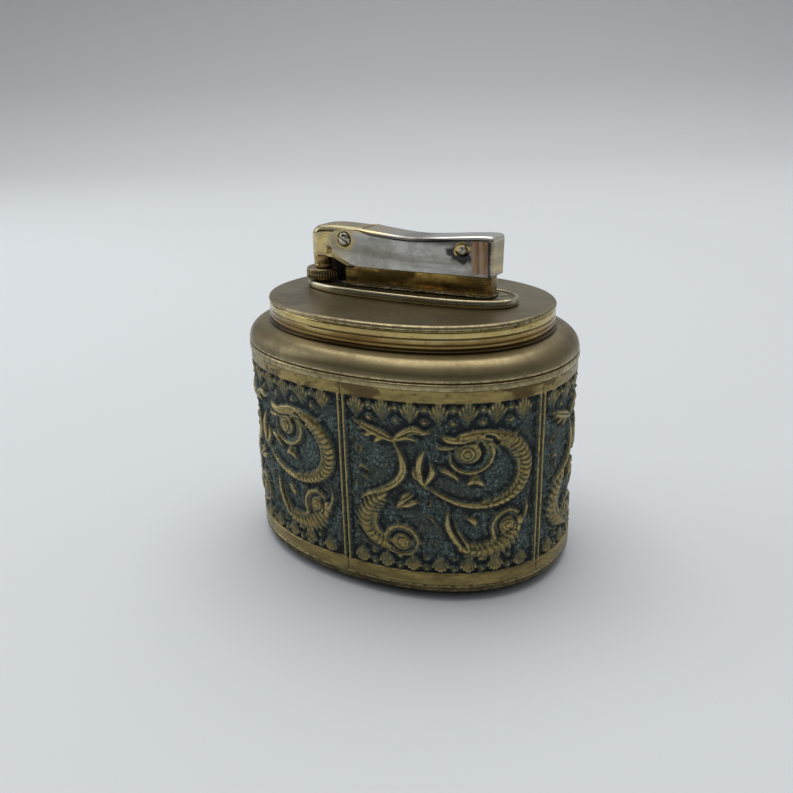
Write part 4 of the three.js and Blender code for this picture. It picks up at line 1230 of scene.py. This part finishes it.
def make_wheel_guard():
    """Two nearly black cheeks beside the spark wheel, between the burner and the housing: soot, and painted
    shade filling the dark gap behind the wheel.
    """
    floor = HOUSING_LOW[2] + 0.2
    outline = rounded_outline([(-13.0, floor, 0), (-13.0, 65.6, 0.3), (-15.6, 66.1, 0.4), (-18.3, 65.7, 0.6),
                               (-18.3, 63.3, 0.5), (-16.9, 63.05, 0.4), (-16.9, floor, 0.1)])
    for side, y0, y1 in (("front", -2.46, -2.1), ("back", 2.1, 2.46)):
        points, faces = rounded_block(outline, 0.08, y0, y1, arc=3, support=0.04)
        piece(f"wheel_guard_{side}", mesh_of(points, faces), "insert", "soot", weighted=True)


# ---------------------------------------------------------------- lever

LEVER_TOP = [(-9.35, 72.56), (-5, 72.15), (0, 71.7), (4, 71.6), (9, 71.9), (14, 72.32), (18, 72.6),
             (19.4, 72.66)]
LEVER_LOBE = [(-9.0, 64.2), (-10.6, 64.24), (-11.9, 64.6), (-13.6, 65.35), (-15.2, 66.2), (-16.4, 67.35),
              (-16.9, 68.6), (-17.0, 69.8), (-16.7, 71.0), (-16.0, 71.75), (-15.0, 72.1), (-13, 72.25),
              (-11, 72.4), (-9.35, 72.56)]
SLEEVE_RADIUS = 1.1
LEVER_SKIN, LEVER_INNER, LEVER_HALF = 0.8, 3.95, 4.4


def lever_side(x):
    """How far out the side of the lever is at x."""
    return LEVER_HALF * (1 - NARROWING * (x - NARROWING_FROM))


def make_lever():
    end, low = LEVER_HIGH[0], LEVER_LOW[2]
    top = catmull(LEVER_TOP, 10)[1:]
    lobe = catmull(LEVER_LOBE, 8)
    corners = [(x, z, 0) for x, z in top] + [(end - 0.02, 72.62, 1.2), (end - 0.28, low, 0.5)]
    corners += [(x, low, 0) for x in (14, 8, 2, -4)] + [(x, z, 0) for x, z in lobe]
    outline = rounded_outline(corners)
    normal = -inward(outline)
    along = eased(outline[:, 0], -10.5, -7.0)
    up, down = np.clip(normal[:, 1], 0, 1) ** 2, np.clip(-normal[:, 1], 0, 1) ** 2
    right, left = np.clip(normal[:, 0], 0, 1) ** 2, np.clip(-normal[:, 0], 0, 1) ** 2
    fillet = up * (0.2 + 0.85 * along) + down * 0.18 + right * 0.85 + left * 0.24
    fillet = np.convolve(np.pad(fillet, 3, mode="wrap"), np.ones(7) / 7, mode="valid")
    points, faces = rounded_block(outline, fillet, -LEVER_HALF, LEVER_HALF, arc=7, support=0.08)
    block = mesh_of(narrowed(points), faces)

    under = [(x, z - LEVER_SKIN) for x, z in LEVER_TOP[1:-1]][::-1]
    hollow = [(-20, 60), (end - 0.35, 60), (end - 0.35, 71.4), *under, (-8.9, 71.65), (-9.35, 75), (-20, 75)]
    points, faces = prism(hollow, -LEVER_INNER, LEVER_INNER)
    tools = [mesh_of(narrowed(points), faces), rod(SLEEVE_RADIUS + 0.1, PIVOT_X, PIVOT_Z),
             rod(0.9, RIVET_X, RIVET_Z)]
    side, rivet_side = lever_side(PIVOT_X), lever_side(RIVET_X)
    for hand in (-1, 1):
        dish = [(2.2, hand * (side + 0.4)), (1.78, hand * (side + 0.02)), (1.62, hand * (side - 0.1)),
                (1.56, hand * (side - 0.38))]
        tools.append(turned_mesh(dish, (PIVOT_X, 0, PIVOT_Z), "y", closed=False))
        tools.append(ball((RIVET_X + 0.1, hand * (rivet_side + 0.02), RIVET_Z), (1.75, 0.26, 1.5)))
    piece("lever_body", carve(block, tools), "lever", "worn_chrome", ["lever"], weighted=True)

    reach = mm_box("lever_rivet")[1][1]
    half = [(0.68, 0.0)] + beside(0, reach, (0.68, -0.46), (0.88, -0.4), (0.97, -0.26), (0.95, -0.1),
                                  (0.82, 0.02), (0.64, 0.04), (0.48, -0.02), (0.4, -0.12), (0.3, -0.13),
                                  (0.15, -0.06), (0.03, -0.04))
    rivet = turned_mesh(mirrored(half), (RIVET_X, 0, RIVET_Z), "y", closed=False)
    piece("rivet", rivet, "lever", "screw_steel", ["lever_rivet"], sharp=50)


def make_pivot():
    """The slotted screw on the front and its nut on the back."""
    face, slot_floor, slot_angle = 4.76, 4.36, math.radians(30)
    head = [(0.6, 0.5), (0.6, 4.2), (1.3, 4.2), (1.38, 4.26), (1.42, 4.4), (1.38, 4.54), (1.24, 4.65),
            (0.9, 4.72), (0.45, face), (0.05, face)]
    c, s = math.cos(slot_angle), math.sin(slot_angle)
    corners = [(-2, -0.27), (2, -0.27), (2, 0.27), (-2, 0.27)]
    turn = [(PIVOT_X + x * c + z * s, PIVOT_Z - x * s + z * c) for x, z in corners]
    for name, hand, node in (("pivot_screw_head", -1, "pivot_screw"), ("pivot_nut_head", 1, "pivot_nut")):
        mesh = turned_mesh([(r, hand * y) for r, y in head], (PIVOT_X, 0, PIVOT_Z), "y", closed=False)
        slot = mesh_of(*prism(turn, *sorted((hand * slot_floor, hand * 5.5))))
        piece(name, carve(mesh, [slot]), "insert", "screw_steel", [node], sharp=40, weighted=True)


# ---------------------------------------------------------------- snuffer

NOSE_HALF, NOSE_CORNER, NOSE_WALL, NOSE_FILLET = 3.7, 3.2, 0.5, 1.55
NOSE_RIGHT, NOSE_BACK = -9.75, -6
NOSE_RIDGE = [(-24.6, 70.3), (-23.6, 71.4), (-22.4, 72.15), (-20.8, 72.7), (-17.5, 72.95), (-14.5, 72.88),
              (-12, 72.76), (-9.0, 72.54), (-6, 72.3)]


def nose_plan(inset, left, right, steps=20):
    """The plan outline of the nose: a flat-ended capsule, open to the right."""
    width, corner = NOSE_HALF - inset, NOSE_CORNER - inset
    centre_x, centre_y = left + NOSE_CORNER, NOSE_HALF - NOSE_CORNER
    points = [(x, -width) for x in np.linspace(right, centre_x, 34)[:-1]]
    for angle in np.linspace(-math.pi / 2, -math.pi, steps):
        points.append((centre_x + corner * math.cos(angle), -centre_y + corner * math.sin(angle)))
    for angle in np.linspace(math.pi, math.pi / 2, steps):
        points.append((centre_x + corner * math.cos(angle), centre_y + corner * math.sin(angle)))
    return np.array(points + [(x, width) for x in np.linspace(centre_x, right, 34)[1:]])


def make_snuffer():
    left = NOSE_LOW[0]
    ridge_x, ridge_z = catmull(NOSE_RIDGE, 10).T

    def roofed(plan, drop=0.0):
        return level(plan, np.interp(plan[:, 0], ridge_x, ridge_z) - drop)

    plan = nose_plan(0, left, NOSE_BACK)
    rings = [level(plan, z) for z in (62.0, 66.0, 69.0, 69.9)]
    for angle in np.linspace(math.pi / 2, 0, 9):
        plan = nose_plan(NOSE_FILLET * (1 - math.sin(angle)), left, NOSE_BACK)
        rings.append(roofed(plan, NOSE_FILLET * (1 - math.cos(angle))))
    rim = nose_plan(NOSE_FILLET, left, NOSE_BACK)
    rings += [roofed(rim * np.array([1, share])) for share in (0.85, 0.6, 0.3, 0.02)]
    count = len(rim)
    faces = band_faces(len(rings), count) + strip_cap((len(rings) - 1) * count, count) + [tuple(range(count))]

    sweep = [(PIVOT_X + 4.5 * math.cos(math.radians(t)), PIVOT_Z + 4.5 * math.sin(math.radians(t)), 0)
             for t in range(31, -42, -6)]
    keep = rounded_outline([(-26, 66.05, 0), (-26, 76, 0), (NOSE_RIGHT, 76, 0), (NOSE_RIGHT, 72.4, 0), *sweep,
                            (-12.0, 64.6, 0.6), (-13.4, 64.2, 0.6), (-17.0, 65.75, 1.6), (-19.5, 66.1, 1.0)])
    block = carve(mesh_of(rings, faces), [mesh_of(*prism(keep, -CUT_REACH, CUT_REACH))], "INTERSECT")
    inner = nose_plan(NOSE_WALL, left, 0)
    count = len(inner)
    ceiling = 70.9 - 1.4 * eased(inner[:, 0], -22.0, -24.2) + 0.9 * eased(inner[:, 0], -13.2, -10.6)
    faces = band_faces(2, count) + [tuple(range(count))] + strip_cap(count, count)
    tools = [mesh_of([level(inner, 50.0), level(inner, ceiling)], faces),
             rod(SLEEVE_RADIUS + 0.1, PIVOT_X, PIVOT_Z), rod(0.62, PIN_X, PIN_Z)]
    piece("nose", carve(block, tools), "snuffer", "gold_nose", ["snuffer"], weighted=True)
    reach = mm_box("snuffer_pin")[1][1]
    half = [(0.6, 0)] + beside(0, reach, (0.6, -0.12), (0.9, -0.1), (0.92, 0.02), (0.8, 0.1), (0.66, 0.08),
                               (0.56, 0.12), (0.42, 0.24), (0.2, 0.3), (0.03, 0.31))
    pin = turned_mesh(mirrored(half), (PIN_X, 0, PIN_Z), "y", closed=False)
    piece("nose_pin", pin, "snuffer", "plain_gilt", ["snuffer_pin"], sharp=60)


# ---------------------------------------------------------------- burner, flame wheel and spark wheel

def make_burner():
    radius, low, high = WHEEL_HIGH[1], WHEEL_LOW[2], WHEEL_HIGH[2]
    teeth, per_tooth = 44, 10
    steps = teeth * per_tooth
    t = round_turn(steps)
    tooth = np.abs(np.sin(t * teeth / 2)) ** 0.7
    profile = [(2.2, low, 0), (radius - 0.5, low, 0), (radius - 0.3, low + 0.08, 0),
               (radius - 0.24, low + 0.24, 0), (radius - 0.14, low + 0.34, 0.3),
               (radius - 0.02, low + 0.48, 1),
               (radius, low + 1.1, 1), (radius - 0.02, high - 0.66, 1), (radius - 0.12, high - 0.52, 0.3)]
    rim = beside(radius, high, (-0.14, -0.42), (-0.12, -0.26), (-0.2, -0.1), (-0.36, -0.02), (-0.6, 0),
                 (-1.0, 0), (-1.15, -0.12), (-1.35, -0.16)) + [(2.3, high - 0.16), (2.15, high - 0.3)]
    profile += [(r, z, 0) for r, z in rim]
    rings = []
    for r, z, cut in profile:
        reach = r - 0.26 * cut * (1 - tooth)
        rings.append(level(np.column_stack([BURNER_X + reach * np.cos(t), reach * np.sin(t)]), z))
    mesh = mark_bends(mesh_of(rings, band_faces(len(rings), steps, closed=True)), 0.12)
    piece("flame_wheel", mesh, "adjuster", "dark_brass", ["adjuster_wheel"], sharp=50)

    radius, low, high = SHROUD_HIGH[1], SHROUD_LOW[2], SHROUD_HIGH[2]
    profile = beside(radius, low, (-0.5, 0), (-0.1, 0), (0, 0.1), (0, 0.5), (-0.07, 0.6), (-0.07, 0.75),
                     (0, 0.85))
    profile += beside(radius, high, (0, -0.35), (-0.04, -0.12), (-0.15, -0.02), (-0.3, 0), (-0.46, -0.05),
                      (-0.52, -0.2)) + [(radius - 0.52, low + 0.2)]
    piece("burner_collar", turned_mesh(profile, (BURNER_X, 0, 0)), "insert", "copper",
          ["burner_shroud"], sharp=50)

    low, high = mm_box("spark_wheel")
    centre_x, _, centre_z = middle("spark_wheel")
    radius, half_width = (high[0] - low[0]) / 2, high[1]
    steps, teeth = 264, 33
    t = round_turn(steps)
    rings = []
    across = [(-half_width, radius - 1.0), (-half_width, radius - 0.3)]
    across += [(y, radius) for y in np.linspace(-half_width + 0.12, half_width - 0.12, 13)]
    across += [(half_width, radius - 0.3), (half_width, radius - 1.0), (half_width * 0.98, 0.7),
               (-half_width * 0.98, 0.7)]
    for y, r in across:
        cut = 0.2 if r == radius else 0.0
        reach = r - cut * (0.5 + 0.5 * np.sin(teeth * t + 2.4 * y)) * (0.6 + 0.4 * np.abs(np.sin(5.5 * y)))
        file_x, file_z = centre_x + reach * np.cos(t), centre_z + reach * np.sin(t)
        rings.append(np.column_stack([file_x, np.full(steps, y), file_z]))
    mesh = mesh_of(rings, band_faces(len(rings), steps, closed=True))
    piece("file_wheel", mesh, "wheel", "steel", ["spark_wheel"], sharp=50)


# ---------------------------------------------------------------- springs

LEVER_TRAVEL = math.radians(4.4)
FILL_STROKE = 0.8


def make_spring(name, node, wire, turns, travel):
    """A coil spring in the place of its CAD node."""
    low, high = mm_box(node)
    radius = (high[0] - low[0]) / 2 - wire
    angle = np.linspace(0, 2 * math.pi * turns, int(30 * turns))
    outward = np.column_stack([np.cos(angle), np.sin(angle), np.zeros(len(angle))])
    axis = np.tile(middle(node), (len(angle), 1))
    axis[:, 2] = np.linspace(low[2] + wire, high[2] - wire, len(angle))
    path = axis + radius * outward
    along = np.gradient(path, axis=0)
    along /= np.linalg.norm(along, axis=1)[:, None]
    across = np.cross(along, outward)
    sides = 10
    around = round_turn(sides)
    rings = (path[:, None] + wire * (outward[:, None] * np.cos(around)[None, :, None]
                                     + across[:, None] * np.sin(around)[None, :, None]))
    mesh = mesh_of(rings, tube_faces(len(path), sides))
    coil = piece(name, mesh, "insert", "steel", [node])
    length = high[2] - low[2]
    1 - travel / length
    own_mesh(coil)


def make_springs():
    drop = (middle("lever_spring")[0] - PIVOT_X) * math.sin(LEVER_TRAVEL)
    make_spring("return_spring", "lever_spring", 0.18, 6, drop + 0.05)
    make_spring("filler_spring", "fill_valve_spring", 0.2, 3.5, FILL_STROKE)


CARRIED = {
    "tank_bottom": "steel", "flint_tube": "plain_gilt", "flint_spring": "steel",
    "flint": "flint", "fill_valve_body": "plain_gilt", "fill_valve_seal": "rubber",
    "fill_valve_cage": "steel", "fill_valve_stem": "plain_gilt", "burner_body": "plain_gilt",
    "burner_jet": "plain_gilt", "valve_seal": "rubber", "valve_spring": "steel", "frame": "sooty_steel",
    "stop_bar": "steel", "arm_pin": "steel", "wheel_axle": "steel", "lever_tongue": "steel",
    "tail_pin": "steel", "snuffer_cup": "plain_gilt", "actuator_arm": "steel", "ratchet_wheel": "steel",
    "flint_screw": "plain_gilt",
}
ROUND_RIMS = ("tank_bottom", "flint_tube", "fill_valve_body", "fill_valve_cage", "fill_valve_stem", "frame",
              "lever_tongue", "snuffer_cup", "actuator_arm", "flint_screw", "stop_bar", "arm_pin",
              "wheel_axle")
RIM_ANGLE = 38


def dress_cad_nodes():
    """Materials, smooth shading and softened rims for the CAD parts that stay."""
    for name, look in CARRIED.items():
        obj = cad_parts[name]
        dress(obj.data, look, RIM_ANGLE)
        if name in ROUND_RIMS:
            rim = obj.modifiers.new("rim", "BEVEL")
            rim.width, rim.segments, rim.limit_method = 0.06 * MM, 2, "ANGLE"
            rim.angle_limit = math.radians(RIM_ANGLE)


# ---------------------------------------------------------------- surroundings

FLOOR_COLOUR = (0.70, 0.735, 0.76)
BACKDROP_TOP = 0.47
CAMERA_AZIMUTH, CAMERA_ELEVATION, CAMERA_ROLL = 30.59, 20.82, -1.42
CAMERA_DISTANCE = 184.5
CAMERA_TARGET = Vector((-2.686, -1.588, 34.08))
FOCAL_PIXELS, FRAME_PIXELS, SENSOR = 794.0, 793.0, 36.0


def make_stage():
    """A pale floor that sweeps up into the backdrop, with painted shade making it grey towards its top."""
    start, radius, half_width = 1.0, 1.1, 4.0
    profile = [(-2.5, 0.0), (start, 0.0)]
    for angle in np.linspace(0, math.pi / 2, 32)[1:]:
        profile.append((start + radius * math.sin(angle), radius * (1 - math.cos(angle))))
    profile = [point for point in profile if point[1] < BACKDROP_TOP]
    profile.append((start + radius * 0.82, BACKDROP_TOP))
    points = [(x, y, z) for y, z in profile for x in (-half_width, half_width)]
    faces = [(2 * k, 2 * k + 1, 2 * k + 3, 2 * k + 2) for k in range(len(profile) - 1)]
    mesh = bpy.data.meshes.new("sweep")
    mesh.from_pydata(points, [], faces)
    mesh.polygons.foreach_set("use_smooth", np.ones(len(faces), bool))
    sweep = linked("sweep", mesh)
    look = Look("sweep")
    height = look.axis("Z") * (1 / 1000)
    # painted shade: the backdrop darkens from the floor colour to grey as it rises
    colour = look.ramp(height, (0.0, FLOOR_COLOUR), (0.03, (0.69, 0.72, 0.745)), (0.13, (0.60, 0.62, 0.64)),
                       (0.4, (0.54, 0.56, 0.58)))
    mesh.materials.append(look.finish(colour, 0.75, 0.0, **{"Specular IOR Level": 0.25}))
    sweep.rotation_euler[2] = math.radians(CAMERA_AZIMUTH)


def make_camera():
    az, el, roll = (math.radians(v) for v in (CAMERA_AZIMUTH, CAMERA_ELEVATION, CAMERA_ROLL))
    back = Vector((math.sin(az) * math.cos(el), -math.cos(az) * math.cos(el), math.sin(el)))
    right = Vector((math.cos(az), math.sin(az), 0))
    up = back.cross(right)
    turned_right = right * math.cos(roll) + up * math.sin(roll)
    turned_up = up * math.cos(roll) - right * math.sin(roll)
    data = bpy.data.cameras.new("camera")
    data.sensor_width = SENSOR
    data.lens = SENSOR * FOCAL_PIXELS / FRAME_PIXELS
    data.clip_start, data.clip_end = 0.01, 20.0
    camera = linked("camera", data)
    axes = Matrix((turned_right, turned_up, back)).transposed().to_4x4()
    axes.translation = (CAMERA_TARGET + back * CAMERA_DISTANCE) * MM
    camera.matrix_world = axes
    bpy.context.scene.camera = camera


def area_light(name, place, aim, size, watts, colour):
    data = bpy.data.lights.new(name, "AREA")
    data.shape, data.size, data.size_y = "RECTANGLE", size[0], size[1]
    data.energy, data.color = watts, colour
    lamp = linked(name, data)
    lamp.location = place
    lamp.rotation_euler = (Vector(aim) - Vector(place)).to_track_quat("-Z", "Y").to_euler()


def make_light():
    """A room brighter above, dark low down in front and pale behind, with a ceiling and a window lamp."""
    world = bpy.data.worlds.new("room")
    bpy.context.scene.world = world
    world.use_nodes = True
    room = Nodes(world.node_tree, "Generated", 1.0)
    y, z = room.axis("Y"), room.axis("Z")
    colour = room.ramp(z, (0.0, (0.16, 0.165, 0.17)), (0.45, (0.42, 0.43, 0.44)), (1.0, (1.0, 1.0, 1.0)))
    colour = room.blend(y.between(-0.1, -0.6) * z.between(0.46, 0.16), colour, (0.035, 0.034, 0.033))
    colour = room.blend(y.between(0.1, 0.6, 0.0, 0.85), colour, (0.92, 0.95, 1.0))
    background = room.tree.nodes["Background"]
    room.link(colour, background.inputs["Color"])
    background.inputs["Strength"].default_value = 0.5
    area_light("ceiling", (-0.2, 0.35, 1.5), (0, 0.15, 0.03), (1.9, 1.5), 17.5, (1.0, 0.99, 0.97))
    area_light("left window", (-0.75, -0.2, 0.35), (0, 0, 0.04), (0.5, 0.5), 1.2, (0.93, 0.97, 1.0))
    bpy.context.scene.view_settings.view_transform = "Standard"


make_camera()
make_case()
make_band()
make_flange_and_tank()
make_housing()
make_wheel_guard()
make_lever()
make_pivot()
make_snuffer()
make_burner()
make_springs()
dress_cad_nodes()
make_stage()
make_light()
